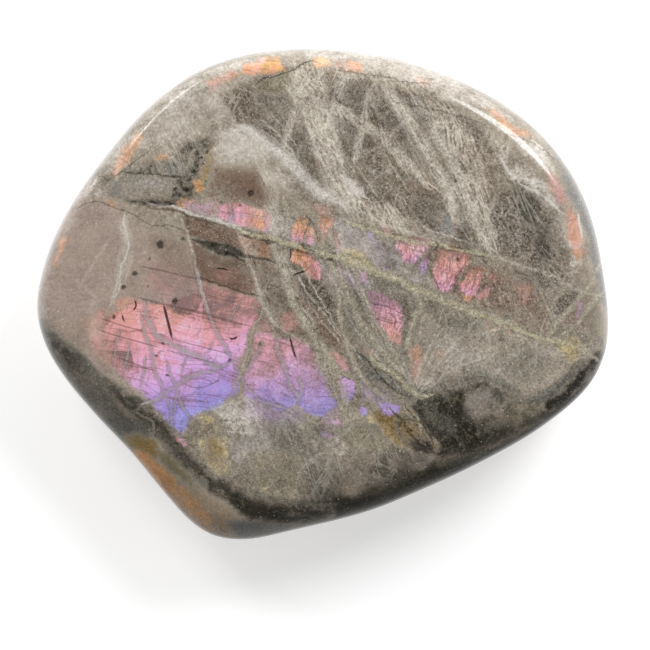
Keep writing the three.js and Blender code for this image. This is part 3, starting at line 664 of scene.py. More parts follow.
# Where the stone is fibrous: strength of the long strands, feather, outline.
FIBRES = {
    "upper half": (0.22, 16, [(228, 80), (300, 60), (450, 90), (560, 180), (590, 290), (450, 250),
        (345, 210), (262, 150)]),
    "main bundle": (1.0, 6, [(292, 70), (322, 70), (330, 100), (336, 133), (344, 164), (352, 190),
        (368, 216), (346, 212), (334, 200), (324, 184), (314, 160), (312, 140), (304, 118), (296, 98)]),
    "top light": (0.85, 8, [(288, 58), (340, 62), (400, 74), (440, 86), (470, 104), (430, 98), (400, 90),
        (372, 84), (340, 82), (300, 84)]),
    "window bar": (0.9, 4, [(290, 80), (300, 98), (294, 120), (289, 146), (284, 150), (288, 118),
        (293, 100), (286, 86)]),
    "crossing bundle": (0.9, 5, [(372, 80), (382, 86), (371, 118), (363, 150), (354, 178), (347, 178),
        (356, 148), (364, 116)]),
    "slant bundle": (0.9, 5, [(330, 96), (352, 110), (376, 124), (392, 132), (416, 166), (440, 188),
        (432, 194), (404, 174), (384, 146), (364, 134), (330, 110)]),
    "long bundle": (1.0, 6, [(380, 84), (394, 90), (414, 118), (434, 148), (452, 184), (466, 226),
        (452, 222), (440, 190), (424, 156), (404, 122), (386, 98)]),
    "right band": (0.95, 10, [(420, 90), (452, 104), (478, 140), (492, 180), (494, 214), (504, 256),
        (478, 250), (460, 212), (446, 170), (430, 130)]),
    "great window": (0.38, 10, [(490, 206), (524, 180), (558, 214), (566, 280), (520, 268), (494, 244)]),
    "far band": (0.6, 10, [(470, 110), (500, 128), (520, 160), (512, 184), (498, 170), (482, 138)]),
    "lace": (0.95, 8, [(340, 190), (360, 196), (392, 204), (420, 222), (446, 240), (420, 240), (380, 228),
        (350, 214)]),
    "low strands": (0.7, 8, [(392, 190), (412, 196), (408, 206), (440, 240), (420, 232), (398, 206)]),
    "lower corner": (0.6, 10, [(500, 246), (530, 268), (570, 290), (596, 300), (590, 280), (570, 276),
        (530, 262), (508, 250)]),
    "crossing": (0.6, 8, [(322, 226), (350, 232), (366, 270), (400, 350), (420, 394), (396, 386),
        (360, 340), (334, 280)]),
    "left falls": (0.8, 7, [(236, 226), (252, 236), (266, 290), (284, 330), (270, 334), (252, 300),
        (242, 250)]),
    "third fall": (0.75, 6, [(264, 232), (282, 240), (296, 290), (334, 356), (352, 410), (336, 390),
        (296, 316), (274, 262)]),
    "oval fall": (0.75, 6, [(252, 148), (264, 150), (280, 200), (290, 240), (266, 240), (264, 200)]),
    "between seams": (0.35, 14, [(290, 205), (440, 240), (590, 290), (600, 350), (440, 300), (290, 245)]),
    "slope": (0.34, 16, [(230, 404), (340, 424), (420, 440), (420, 480), (300, 498), (230, 480)]),
    "upper left": (0.5, 24, [(120, 160), (230, 70), (262, 80), (232, 150), (150, 200)]),
    "fan": (0.36, 20, [(415, 392), (430, 300), (520, 320), (580, 350), (500, 385)]),
}

# Where the colour play is combed by upright hairlines and browner towards its top, given in the same way.
COMBED = {
    "strip": (0.5, 6, [(205, 196), (272, 206), (272, 236), (215, 222)]),
    "blocks": (0.9, 6, [(286, 200), (346, 212), (350, 258), (286, 248)]),
    "seam pane": (0.8, 4, [(286, 246), (326, 254), (326, 284), (286, 276)]),
    "runs": (1.0, 8, [(388, 222), (470, 238), (540, 268), (536, 310), (440, 300), (386, 258)]),
    "rose": (1.0, 6, [(362, 284), (410, 292), (408, 352), (364, 330)]),
}

# Where the colour play is dull, given in the same way.
FADED = {
    "top of the flash": (0.6, 10, [(150, 292), (200, 280), (262, 296), (262, 322), (220, 326),
        (180, 314)]),
    "left of the flash": (0.42, 14, [(84, 310), (120, 326), (150, 352), (150, 390), (110, 370),
        (90, 350)]),
    "haze": (0.7, 8, [(146, 256), (204, 262), (262, 276), (262, 292), (200, 280), (190, 300),
        (150, 302)]),
    "right of the basin": (0.5, 10, [(300, 340), (320, 352), (330, 392), (300, 380)]),
}

# Where the stone is smooth and even, given in the same way.
CALM = {
    "left": (0.85, 30, [(30, 200), (120, 190), (150, 220), (240, 250), (262, 300), (250, 400), (150, 400),
        (60, 360), (30, 300)]),
    "upper left": (0.8, 20, [(100, 170), (160, 104), (236, 66), (250, 110), (222, 130), (190, 138),
        (150, 160)]),
    "oval": (0.9, 14, [(214, 128), (250, 132), (270, 160), (300, 200), (240, 200), (214, 170)]),
    "lower slope": (0.05, 26, [(203, 412), (250, 398), (330, 430), (420, 450), (380, 490), (290, 499),
        (225, 478)]),
    "rim top": (0.8, 8, [(180, 84), (240, 56), (300, 44), (440, 66), (440, 86), (380, 74), (300, 58),
        (240, 72), (190, 96)]),
    "rim right": (0.8, 10, [(430, 66), (520, 118), (565, 180), (600, 270), (612, 340), (585, 330),
        (575, 250), (545, 190), (500, 136), (440, 100)]),
    "rim low": (0.8, 10, [(600, 350), (560, 410), (440, 480), (330, 520), (240, 540), (180, 500),
        (80, 390), (100, 380), (200, 480), (260, 505), (330, 500), (440, 460), (560, 395)]),
}


class Wire:
    """One output of a node in a material. Arithmetic on it adds Math nodes."""

    def __init__(self, tree, socket):
        self.tree = tree
        self.socket = socket

    def math(self, operation, *values):
        return add(self.tree, "ShaderNodeMath", {"operation": operation}, [self, *values])

    def __add__(self, other):
        return self.math("ADD", other)

    def __mul__(self, other):
        return self.math("MULTIPLY", other)

    def __sub__(self, other):
        return self.math("SUBTRACT", other)

    def __rsub__(self, other):
        return add(self.tree, "ShaderNodeMath", {"operation": "SUBTRACT"}, [other, self])

    def __truediv__(self, other):
        return self.math("DIVIDE", other)

    def __abs__(self):
        return self.math("ABSOLUTE")

    __radd__ = __add__
    __rmul__ = __mul__


def set_stops(stops, colours):
    """Gives a ramp its stops, each a place from 0 to 1 and a colour."""
    while len(stops) < len(colours):
        stops.new(0.5)
    for stop, (at, colour) in zip(stops, colours):
        stop.position = at
        stop.color = colour


def add(tree, kind, settings=None, inputs=(), output=0):
    """Adds a node, its settings first, then the values or wires of its sockets, and returns one output."""
    node = tree.nodes.new(kind)
    for name, value in (settings or {}).items():
        if name == "stops":
            set_stops(node.color_ramp.elements, value)
        else:
            setattr(node, name, value)
    pairs = inputs.items() if isinstance(inputs, dict) else enumerate(inputs)
    for key, value in pairs:
        if isinstance(value, Wire):
            tree.links.new(value.socket, node.inputs[key])
        else:
            node.inputs[key].default_value = value
    return Wire(tree, node.outputs[output]) if node.outputs else None


def parts_of(vector):
    """The three parts of a vector."""
    sockets = add(vector.tree, "ShaderNodeSeparateXYZ", None, [vector]).socket.node.outputs
    return [Wire(vector.tree, socket) for socket in sockets]


def rise(value, start, end):
    """0 below start and 1 above end, or the other way round where end is the smaller."""
    if start > end:
        return 1 - rise(value, end, start)
    settings = {"interpolation_type": "SMOOTHSTEP"}
    return add(value.tree, "ShaderNodeMapRange", settings, [value, start, end, 0.0, 1.0])


def mix(below, above, share):
    """One colour over another, as far as its share."""
    tree = next(part.tree for part in (share, below, above) if isinstance(part, Wire))
    settings = {"data_type": "RGBA", "blend_type": "MIX", "clamp_factor": True}
    return add(tree, "ShaderNodeMix", settings, {0: share, 6: below, 7: above}, output=2)


def noise(place, size, detail=2.0, roughness=0.5, output=0):
    """Cloudy noise, 0 to 1, with lumps of about this size in millimetres."""
    inputs = {"Vector": place, "Scale": 1 / size, "Detail": detail, "Roughness": roughness}
    return add(place.tree, "ShaderNodeTexNoise", {"normalize": True}, inputs, output)


def turned(place, heading, sizes, lean=(0.0, 0.0)):
    """Coordinates measured along a heading in degrees, counterclockwise from +X, in lumps of these sizes."""
    inputs = {"Vector": place, "Rotation": (*np.radians(lean).tolist(), np.radians(heading)), "Scale": sizes}
    return add(place.tree, "ShaderNodeMapping", {"vector_type": "TEXTURE"}, inputs)


def stray(place, size, reach):
    """Coordinates that wander by up to about half this reach, over lumps of this size."""
    way = add(place.tree, "ShaderNodeVectorMath", {"operation": "SUBTRACT"},
              [noise(place, size, 1, output=1), (0.5, 0.5, 0.5)])
    return add(place.tree, "ShaderNodeVectorMath", {"operation": "MULTIPLY_ADD"}, [way, (reach,) * 3, place])


def strands(place, heading, length, width, thin, lean=(0.0, 0.0)):
    """Bright strands along a heading: the crests of a noise drawn out that way."""
    along = turned(place, heading, (length, width, width), lean)
    crest = 1 - abs(noise(along, 1.0, 2, 0.5) * 2 - 1)
    return rise(crest, 1 - thin, 1 - thin * 0.25)


def waves(places, length, height):
    """Smooth wandering of places, by about this height over about this length, both in pixels."""
    moved = np.zeros_like(places)
    for axis in range(2):
        turns = rng.uniform(0, 2 * np.pi, RIPPLES)
        lengths = length * rng.uniform(0.7, 1.6, RIPPLES)
        phases = rng.uniform(0, 2 * np.pi, RIPPLES)
        for turn, span, phase in zip(turns, lengths, phases):
            run = places @ [np.cos(turn), np.sin(turn)]
            moved[:, axis] += np.sin(run * 2 * np.pi / span + phase)
    return moved * height / np.sqrt(RIPPLES)


def route(points):
    """A smooth route through given points."""
    p = np.array(points, float)
    p = np.vstack([2 * p[0] - p[1], p, 2 * p[-1] - p[-2]])
    t = np.linspace(0, 1, 6, endpoint=False)[:, None]
    spans = []
    for a, b, c, d in zip(p, p[1:], p[2:], p[3:]):
        spans.append(b + t * (c - a) / 2 + t**2 * (a - 2.5 * b + 2 * c - d / 2)
                     + t**3 * (1.5 * b - 1.5 * c + (d - a) / 2))
    return np.vstack([*spans, p[-2:-1]])


def beside(line, places):
    """How far each place is to the side of a line, with the side as its sign, and its share of the length."""
    steps = np.diff(line, axis=0)
    lengths = np.hypot(*steps.T)
    starts = np.concatenate([[0], np.cumsum(lengths)])
    nearest = np.full(len(places), np.inf)
    signed = np.zeros(len(places))
    share = np.zeros(len(places))
    for start, step, length, run in zip(line, steps, lengths, starts):
        offset = places - start
        t = np.clip(offset @ step / length**2, 0, 1)
        gap = offset - t[:, None] * step
        distance = np.hypot(*gap.T)
        closer = distance < nearest
        side = np.where(step[0] * offset[:, 1] - step[1] * offset[:, 0] < 0, -1, 1)
        nearest = np.where(closer, distance, nearest)
        signed = np.where(closer, distance * side, signed)
        share = np.where(closer, (run + t * length) / starts[-1], share)
    return signed, share


def line_mark(points, half_width, places, sign=1):
    """A line as half widths to its side, so that the line itself is from -1 to 1. It tapers to its ends."""
    line = route(points)
    reach = 14 * half_width + 8
    near = np.all((places > line.min(0) - reach) & (places < line.max(0) + reach), axis=1)
    mark = np.full(len(places), FAR)
    signed, share = beside(line, places[near])
    taper = np.clip(np.minimum(share, 1 - share) * 7 + TIP, TIP, 1) ** 0.6
    mark[near] = np.clip(sign * signed / (half_width * taper), -FAR, FAR)
    return mark


def patch_mark(outline, places):
    """How far in from the edge of a patch each place is, in pixels, and less than 0 outside it."""
    corners = np.array(outline, float)
    nearest = np.full(len(places), np.inf)
    inside = np.zeros(len(places), bool)
    for a, b in zip(corners, np.roll(corners, -1, axis=0)):
        offset = places - a
        step = b - a
        t = np.clip(offset @ step / (step @ step), 0, 1)
        nearest = np.minimum(nearest, np.hypot(*(offset - t[:, None] * step).T))
        if a[1] != b[1]:
            crosses = (a[1] > places[:, 1]) != (b[1] > places[:, 1])
            at = a[0] + (places[:, 1] - a[1]) * step[0] / step[1]
            inside ^= crosses & (places[:, 0] < at)
    return np.where(inside, nearest, -nearest)


def soft(value, low, high):
    """0 up to low and 1 from high on, with a smooth way between them."""
    t = np.clip((value - low) / (high - low), 0, 1)
    return t * t * (3 - 2 * t)


def seen_places(points):
    """The photograph's pixel for each point of the stone in millimetres. Below the widest line the stone is
    read as if seen through, so that sheets run on down the sides and over the back."""
    above = np.maximum(points[:, 2] - WIDEST_Z, 0)
    grow = CAMERA_RISE / (CAMERA_RISE - above)
    offset = (points[:, :2] - CAMERA_XY) * grow[:, None] / MM_PER_PIXEL
    return PHOTO_SIDE / 2 + offset * [1, -1]


def zone_mark(zones, places):
    """The strength of overlapping soft zones."""
    mark = np.zeros(len(places))
    for strength, feather, outline in zones.values():
        reach = soft(patch_mark(outline, places), -feather, feather)
        mark = np.maximum(mark, strength * reach)
    return mark


def lay_tone(tones, tone, reach):
    """Lays one tone over the others, as far as it reaches at each vertex."""
    for other in tones:
        tones[other] *= 1 - reach
    tones[tone] += reach


def nearest_of(rows):
    """Each vertex's value nearest to 0 among these rows."""
    rows = np.array(rows)
    return rows[np.abs(rows).argmin(0), np.arange(rows.shape[1])]


def line_marks(seen, depth):
    """The veins one by one, the lamellae together and the needles together."""
    bent = seen + waves(seen, 46, 0.8) + waves(seen, 17, 0.4)
    marks = {}
    for name, (_, half_width, points_along) in VEINS.items():
        dip = rng.uniform(-1.3, 1.3, 2)
        marks[name] = line_mark(points_along, half_width, bent + depth * dip)
    flat = seen + waves(seen, 60, 0.6) + depth * 0.4
    marks["lamellae"] = nearest_of([line_mark(points_along, half_width, flat, -1 if i % 2 else 1)
                                    for i, (half_width, points_along) in enumerate(LAMELLAE)])
    marks["needles"] = nearest_of([line_mark(points_along, half_width, seen + depth * 0.8)
                                   for half_width, points_along in NEEDLES])
    return marks


def flash_marks(seen, ragged, height):
    """The colour play: how far in from its edge, its hue and strength, and where it is dull or bright."""
    lit = np.full(len(seen), -8.0)
    hue = np.full(len(seen), 0.4)
    power = np.zeros(len(seen))
    dim = np.zeros(len(seen))
    for first, last, heading, feather, strength, outline in FLASHES.values():
        corners = np.array(outline, float)
        inward = patch_mark(outline, ragged) / feather
        way = np.array([np.cos(np.radians(heading)), np.sin(np.radians(heading))])
        ends = corners @ way
        fall = soft(seen @ way, ends.min(), ends.max()) ** 1.5
        top, foot = corners[:, 1].min(), corners[:, 1].max()
        wins = inward > lit
        lit = np.where(wins, inward, lit)
        hue = np.where(wins, first + (last - first) * fall, hue)
        power = np.where(wins, strength, power)
        dim = np.where(wins, soft((foot - seen[:, 1]) / (foot - top), 0.4, 1.0), dim)
    cores = [soft(1 - np.hypot(*(ragged - (x, y)).T) / radius, 0, 1) for x, y, radius in CORES]
    return {"lit": np.clip(lit, -4, 4), "fade": zone_mark(FADED, seen), "hue": hue, "dim": dim,
            "power": power * soft(height, 16, 26), "core": np.max(cores, axis=0)}


def tone_marks(seen, depth, side):
    """How much of each tone there is at each vertex."""
    tones = {tone: np.zeros(len(seen)) for tone in TONES}
    swing = waves(seen, 60, 1.0), waves(seen, 24, 1.0), waves(seen, 11, 0.6)
    for tone, feather, strength, outline in PATCHES.values():
        drift = seen + swing[0] * feather * 0.12 + swing[1] * min(feather, 8) * 0.12 + swing[2]
        inward = patch_mark(outline, drift + depth * (0.9, -0.7))
        lay_tone(tones, tone, strength * soft(inward, -feather * 0.7, feather * 0.7))
    for tone, strength in SIDE.items():
        lay_tone(tones, tone, strength * side * (1 - tones["pitch"]))
    return tones


def stone_marks(points):
    """Every marking's value at every vertex, by name."""
    height = points[:, 2]
    depth = np.maximum(WIDEST_Z - height, 0)[:, None]
    side = 1 - soft(height, 4, 28)
    seen = seen_places(points)
    marks = line_marks(seen, depth)
    ragged = seen + waves(seen, 20, 0.9) + waves(seen, 9, 0.6)
    dots = [radius - np.hypot(*(ragged - (x, y)).T) for x, y, radius in SPECKS]
    marks["specks"] = np.clip(np.max(dots, axis=0) - depth[:, 0] * 2, -20, 20)
    marks.update(flash_marks(seen, ragged, height))
    marks.update(tone_marks(seen, depth, side))
    marks["milk"] *= soft(height, 0, 24) * 0.7 + 0.3
    marks["fibre"] = np.maximum(zone_mark(FIBRES, seen), side * SIDE_FIBRE)
    marks["combed"] = zone_mark(COMBED, seen)
    marks["calm"] = zone_mark(CALM, seen)
    marks["dim"] *= marks["combed"]
    return marks


def deselect():
    if bpy.context.object and bpy.context.object.mode == "EDIT":
        bpy.ops.object.mode_set(mode="OBJECT")
    bpy.ops.object.select_all(action="DESELECT")


def make_active(piece):
    deselect()
    piece.select_set(True)
    bpy.context.view_layer.objects.active = piece


def pick(piece, elements, wanted):
    """Selects these elements of a mesh in edit mode, by a test on each of them."""
    bpy.ops.object.mode_set(mode="EDIT")
    bpy.ops.mesh.select_mode(type={"polygons": "FACE", "edges": "EDGE"}[elements])
    bpy.ops.mesh.select_all(action="DESELECT")
    bpy.ops.object.mode_set(mode="OBJECT")
    for element in getattr(piece.data, elements):
        element.select = bool(wanted(element))
    bpy.ops.object.mode_set(mode="EDIT")


def apply_subdivision(piece, levels):
    smooth = piece.modifiers.new("smoothed", "SUBSURF")
    smooth.levels = levels
    smooth.render_levels = levels
    bpy.ops.object.modifier_apply(modifier=smooth.name)


def polished_skin():
    """The stone's facets, merged and rounded, then ringed across the face finely enough for its markings."""
    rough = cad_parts["labradorite_stone"]
    skin = rough.copy()
    skin.data = rough.data.copy()
    skin.name = "polished_stone"
    skin.data.name = "polished_stone"
    for key in list(skin.keys()):
        del skin[key]
    skin.parent = None
    bpy.context.scene.collection.objects.link(skin)
    make_active(skin)
    bpy.ops.object.mode_set(mode="EDIT")
    bpy.ops.mesh.select_all(action="SELECT")
    bpy.ops.mesh.customdata_custom_splitnormals_clear()
    bpy.ops.mesh.remove_doubles(threshold=TOUCHING)
    bpy.ops.object.mode_set(mode="OBJECT")

    spots = np.array([v.co for v in skin.data.vertices])
    poles = {i for i, (x, y, _) in enumerate(spots) if np.hypot(x, y) < TOUCHING}
    pick(skin, "polygons", lambda face: not poles & set(face.vertices))
    bpy.ops.mesh.tris_convert_to_quads(face_threshold=ANY_ANGLE, shape_threshold=ANY_ANGLE)
    bpy.ops.object.mode_set(mode="OBJECT")
    apply_subdivision(skin, 2)

    spots = np.array([v.co for v in skin.data.vertices])
    across = np.hypot(spots[:, 0], spots[:, 1])
    top = spots[:, 2] > FACE_FLOOR

    def runs_outward(edge):
        a, b = edge.vertices
        return top[a] and top[b] and abs(across[a] - across[b]) > FACE_RING

    pick(skin, "edges", runs_outward)
    bpy.ops.mesh.subdivide(number_cuts=2, smoothness=0.0)
    pick(skin, "polygons", lambda face: len(face.vertices) > 4)
    bpy.ops.mesh.quads_convert_to_tris(quad_method="BEAUTY", ngon_method="BEAUTY")
    bpy.ops.mesh.select_all(action="SELECT")
    bpy.ops.mesh.faces_shade_smooth()
    bpy.ops.object.mode_set(mode="OBJECT")
    return skin


def hold_marks(skin, marks):
    """Stores the markings on the mesh, three to an attribute, and returns where each one is."""
    names = list(marks)
    homes = {}
    for start in range(0, len(names), 3):
        trio = names[start:start + 3]
        attribute = skin.data.attributes.new(f"marks_{start // 3}", "FLOAT_VECTOR", "POINT")
        values = np.zeros((len(skin.data.vertices), 3), np.float32)
        for column, name in enumerate(trio):
            values[:, column] = marks[name]
            homes[name] = (attribute.name, column)
        attribute.data.foreach_set("vector", values.ravel())
    return homes


def bundles(swayed, fibre):
    """Long pale strands that cross at four headings, where the stone is fibrous."""
    there = noise(swayed, 9.0, 2)
    main = strands(swayed, -70, 90, 2.0, 0.065)
    leaning = strands(swayed, -52, 80, 2.6, 0.055, lean=(5, 3))
    crossing = strands(swayed, 62, 60, 3.4, 0.035, lean=(-4, 5))
    level = strands(swayed, -24, 70, 4.4, 0.03, lean=(3, -4))
    long = 1 - (1 - main) * (1 - leaning) * (1 - crossing * 0.9) * (1 - level * 0.7)
    return long * (rise(there, 0.36, 0.60) * 0.8 + 0.2) * fibre


def twigs(rough, felt):
    """Short pale strands at three headings."""
    short = strands(rough, 18, 3.0, 0.5, 0.08)
    short = short.math("MAXIMUM", strands(rough, 78, 3.0, 0.5, 0.08, lean=(12, 0)))
    short = short.math("MAXIMUM", strands(rough, -38, 3.4, 0.55, 0.08, lean=(0, 9)))
    return short * rise(felt, 0.38, 0.58)


def colour_play(mark, place, swayed, wavy):
    """The colours of the play: hues in panes, ruled by fine lamellae and crossed by hairlines."""
    rules = noise(turned(place, -11, (30, 0.7, 1.2)), 1.0, 3, 0.65)
    combs = noise(turned(wavy, 72, (6, 0.6, 0.6)), 1.0, 2, 0.6)
    patchy = noise(swayed, 3.4, 3, 0.6)
    cells = add(place.tree, "ShaderNodeTexVoronoi", {"feature": "F1"},
                {"Vector": turned(wavy, 66, (13, 6, 40)), "Scale": 1.0}, output=1)
    pane = add(place.tree, "ShaderNodeSeparateColor", None, [cells])
    hue = mark("hue") + (patchy - 0.5) * 0.22 + (rules - 0.5) * 0.10 + (pane - 0.5) * 0.14
    ramp = add(place.tree, "ShaderNodeValToRGB", {"stops": PLAY}, [hue])
    glow = 0.72 + mark("core") * 0.2 + (patchy - 0.5) * 1.4 + (combs - 0.5) * 0.5 + (rules - 0.5) * 0.7
    combed = mark("combed")
    glow = glow + (pane - 0.5) * 0.55 + combed * 0.2 - mark("fade") * 0.8
    play = mix(NET, ramp, rise(glow, -0.15, 0.85))
    play = mix(play, BLUSH, rise(glow, 0.85, 1.45) * 0.4)
    hairs = (strands(wavy, 68, 8, 3.0, 0.035) * 0.7).math("MAXIMUM", strands(swayed, -12, 40, 2.2, 0.04))
    teeth = strands(wavy, 74, 5, 1.1, 0.10).math("MAXIMUM", strands(wavy, 84, 7, 1.5, 0.08))
    play = mix(play, SHADOW, hairs * 0.4)
    play = mix(play, SHADOW, teeth * combed * 0.5)
    return mix(play, UMBER, rise(mark("dim"), 0.25, 1.0) * 0.65)


def draw_lines(ground, mark, place, grain, felt, tuft, cloud):
    """The veins by their tone, each over those before it, then the lamellae, needles and specks."""
    jagged = (noise(place, 1.7, 3, 0.7) - 0.5) * 6.5

    def nearest_line(tone):
        nearest = None
        for name, (vein_tone, half_width, _) in VEINS.items():
            if vein_tone == tone:
                away = abs(jagged.math("MULTIPLY_ADD", 1 / half_width, mark(name)))
                nearest = away if nearest is None else nearest.math("MINIMUM", away)
        return nearest

    shaggy = (felt - 0.5) * 3.0 + (grain - 0.5) * 1.8
    ruled = (felt - 0.5) * 1.2 + (grain - 0.5) * 0.6
    pale = nearest_line("pale")
    across, up, _ = parts_of(place)
    beside_pale = add(place.tree, "ShaderNodeCombineXYZ", None, [pale * 2.6, across / 7, up / 7])
    stripes = noise(beside_pale, 1.0, 3, 0.7)
    broken = rise(stripes + (felt - 0.5) * 0.5, 0.36, 0.66)
    grey = nearest_line("grey")
    ground = mix(ground, SHADOW, rise(grey + shaggy * 0.8, 2.9, 1.2) * 0.30)
    blotched = rise(felt + (grain - 0.5), 0.36, 0.60)
    ground = mix(ground, VEIN, rise(grey + shaggy * 0.8, 1.5, 0.3) * (blotched * 0.45 + 0.45))
    ground = mix(ground, STRAND, rise(pale + shaggy, 1.9, 0.0) * (broken * 0.75 + 0.08))
    dun = nearest_line("dun")
    ragged = shaggy + (tuft - 0.5) * 5.0
    ground = mix(ground, SHADOW, rise(dun + ragged, 2.4, 1.2) * 0.24)
    dusty = mix(DUN, STRAND, rise(felt + (grain - 0.5), 0.46, 0.66))
    ground = mix(ground, dusty, rise(dun + ragged, 1.8, 0.1) * 0.76)
    ground = mix(ground, STRAND, rise(nearest_line("mist") + shaggy, 2.2, -0.2) * 0.26)
    ground = mix(ground, MILK, rise(nearest_line("milk") + shaggy * 0.7, 2.0, 0.2) * 0.95)
    straw = nearest_line("straw")
    cracked = rise(cloud * 0.5 + felt * 0.5, 0.47, 0.56)
    ground = mix(ground, BLACK, rise(straw + (grain - 0.5), 2.4, 1.3) * cracked * 0.55)
    seam = rise(straw + shaggy * 0.9 + (tuft - 0.5) * 5.0, 1.9, 0.2)
    knots = mix(SEAM, STRAW, rise(tuft, 0.46, 0.60) * 0.8)
    ground = mix(ground, knots, seam * (rise(felt + (grain - 0.5) * 0.8, 0.38, 0.58) * 0.7 + 0.15))
    under = mark("main seam") - 1.7 + (felt - 0.5) * 2.0 + (grain - 0.5)
    near_side = rise(across, 30, 5)
    ground = mix(ground, BLACK, rise(abs(under), 0.8, 0.3) * rise(tuft, 0.46, 0.56) * near_side * 0.6)
    ground = mix(ground, MILK, seam * rise(tuft + (felt - 0.5) * 0.6, 0.58, 0.72) * 0.6)
    ground = mix(ground, PITCH, rise(nearest_line("dark") + ruled, 1.4, 0.2) * 0.7)
    # Faint lines in smoke: real faint cracks, and the rim edge lines, which are painted shade.
    ground = mix(ground, SMOKE, rise(nearest_line("faint") + ruled, 1.5, 0.3) * 0.55)
    ground = mix(ground, SHADOW, rise(abs(mark("lamellae")) + ruled, 1.6, 0.2) * 0.5)
    ground = mix(ground, BLACK, rise(abs(mark("needles")), 1.3, 0.6) * 0.9)
    return mix(ground, BLACK, rise(mark("specks") + (felt - 0.5) * 3, -0.8, 1.2) * 0.8)


def sparkle(place, scale, radius, share):
    """Crystals that shine: dots of this radius in this share of the cells, scale of them to a millimetre."""
    cells = add(place.tree, "ShaderNodeTexVoronoi", {"feature": "F1"}, {"Vector": place, "Scale": scale})
    cell_colour = Wire(place.tree, cells.socket.node.outputs[1])
    chance = add(place.tree, "ShaderNodeSeparateColor", None, [cell_colour])
    return rise(cells, radius, radius * 0.4) * rise(chance, 1 - share, 1.05 - share)


def labradorite(homes):
    """The stone's finish: feldspar with veins and smoky windows, its colour play and a wet polish."""
    material = bpy.data.materials.new("polished_labradorite")
    material.use_nodes = True
    tree = material.node_tree
    tree.nodes.clear()
    held = {}

    def mark(name):
        attribute, column = homes[name]
        if attribute not in held:
            whole = add(tree, "ShaderNodeAttribute", {"attribute_name": attribute}, output=1)
            held.clear()  # one at a time, because Cycles has room for few values that wait to be used
            held[attribute] = parts_of(whole)
        return held[attribute][column]

    object_place = add(tree, "ShaderNodeTexCoord", None, output=3)
    place = add(tree, "ShaderNodeVectorMath", {"operation": "SCALE"}, {0: object_place, 3: MM})
    swayed = stray(place, 26.0, 9.0)
    rough = stray(place, 1.1, 1.0)
    wavy = stray(swayed, 3.0, 0.9)

    grain = noise(place, 0.34, 2, 0.8)
    felt = noise(rough, 0.9, 3, 0.7)
    tuft = noise(rough, 3.2, 4, 0.7)
    cloud = noise(swayed, 9.0, 4, 0.6)
    veil = noise(wavy, 5.0, 3, 0.65)
    calm = mark("calm")
    rugged = 1 - calm * 0.75
    fibre = mark("fibre")

    # Altered feldspar drawn out along the stone's grain: soft streaks, dark gaps between them, strands.
    falls = noise(turned(swayed, -68, (22, 0.9, 1.2)), 1.0, 3, 0.75)
    leans = noise(turned(swayed, -47, (18, 0.9, 1.2), (8, -6)), 1.0, 3, 0.75)
    slants = noise(turned(swayed, 64, (14, 0.8, 1.0), (5, 7)), 1.0, 3, 0.75)
    smoky = mark("smoke")
    clear = 1 - smoky * 0.35
    thick = (fibre - 0.50) * 0.36 + (grain - 0.5) * 0.35 + (tuft - 0.5) * 0.15
    woven = rise(falls + thick, 0.48, 0.72)
    woven = woven.math("MAXIMUM", rise(leans + thick, 0.54, 0.78) * 0.8)
    woven = woven.math("MAXIMUM", rise(slants + thick, 0.60, 0.84) * 0.7)
    gaps = rise(falls * 0.6 + leans * 0.4 + (tuft - 0.5) * 0.2, 0.48, 0.34)
    long = bundles(swayed, fibre)
    short = twigs(rough, felt)

    # The body of the stone, tone by tone, each with mottled edges.
    mottle = ((felt - 0.5) * 1.0 + (tuft - 0.5) * 1.3 + (cloud - 0.5) * 0.8 + (grain - 0.5) * 0.6) * 6.5
    mottle = mottle * (1 - calm * 0.7)
    ground = BEIGE
    for tone, colour in TONES.items():
        share = mark(tone)
        ground = mix(ground, colour, rise(share + share * (1 - share) * mottle, 0.15, 0.85))
    ground = mix(ground, SMOKE, rise(cloud * 0.6 + tuft * 0.4, 0.52, 0.34) * 0.45 * rugged)
    dark = mark("pitch") + mark("black")
    bare = (1 - dark) * rugged * clear
    ground = mix(ground, PEARL, rise(veil, 0.46, 0.72) * (fibre * 0.4 + 0.06) * bare)
    ground = mix(ground, TAN, rise(noise(swayed, 13.0, 3, 0.6), 0.46, 0.70) * 0.4 * bare)
    ground = mix(ground, OLIVE, rise(felt + (tuft - 0.5) * 0.9, 0.50, 0.72) * mark("pitch") * rugged * 0.5)
    ground = mix(ground, SLATE, rise(cloud + (tuft - 0.5) * 0.6, 0.46, 0.66) * mark("pitch") * rugged * 0.6)
    ground = mix(ground, BLACK, rise(felt + (cloud - 0.5) * 0.5, 0.50, 0.38) * mark("pitch") * rugged * 0.5)

    # Colour play, in panes with ragged edges.
    edge = mark("lit") + ((felt - 0.5) * 1.5 + (grain - 0.5) * 0.6) * (1 - calm * 0.6)
    panes = rise(edge, -0.6, 0.7) * mark("power")
    ground = mix(ground, colour_play(mark, place, swayed, wavy), panes * (0.95 - long * 0.35))

    # Streaks and strands over everything but the flashes.
    open_stone = 1 - panes * 0.8
    cracks = add(tree, "ShaderNodeTexVoronoi", {"feature": "DISTANCE_TO_EDGE"},
                 {"Vector": rough, "Scale": 0.42})
    cracks = rise(cracks, 0.055, 0.015) * rise(tuft, 0.42, 0.56)
    hair = noise(turned(swayed, -64, (9, 0.5, 0.7), (6, 4)), 1.0, 2, 0.7)
    light = mix(TAN, STRAND, rise(hair + (grain - 0.5) * 0.5, 0.42, 0.72))
    light = mix(light, UMBER, rise(hair, 0.48, 0.34) * 0.7)
    ground = mix(ground, SMOKE, gaps * (fibre * 0.55 + 0.14) * open_stone * rugged)
    ground = mix(ground, light, woven * 0.78 * open_stone * bare)
    ground = mix(ground, STRAND, long * 0.78 * open_stone)
    ground = mix(ground, STRAND, short * (smoky * 0.40 + 0.24) * bare * open_stone)
    ground = mix(ground, STRAND, cracks * 0.14 * bare * open_stone)

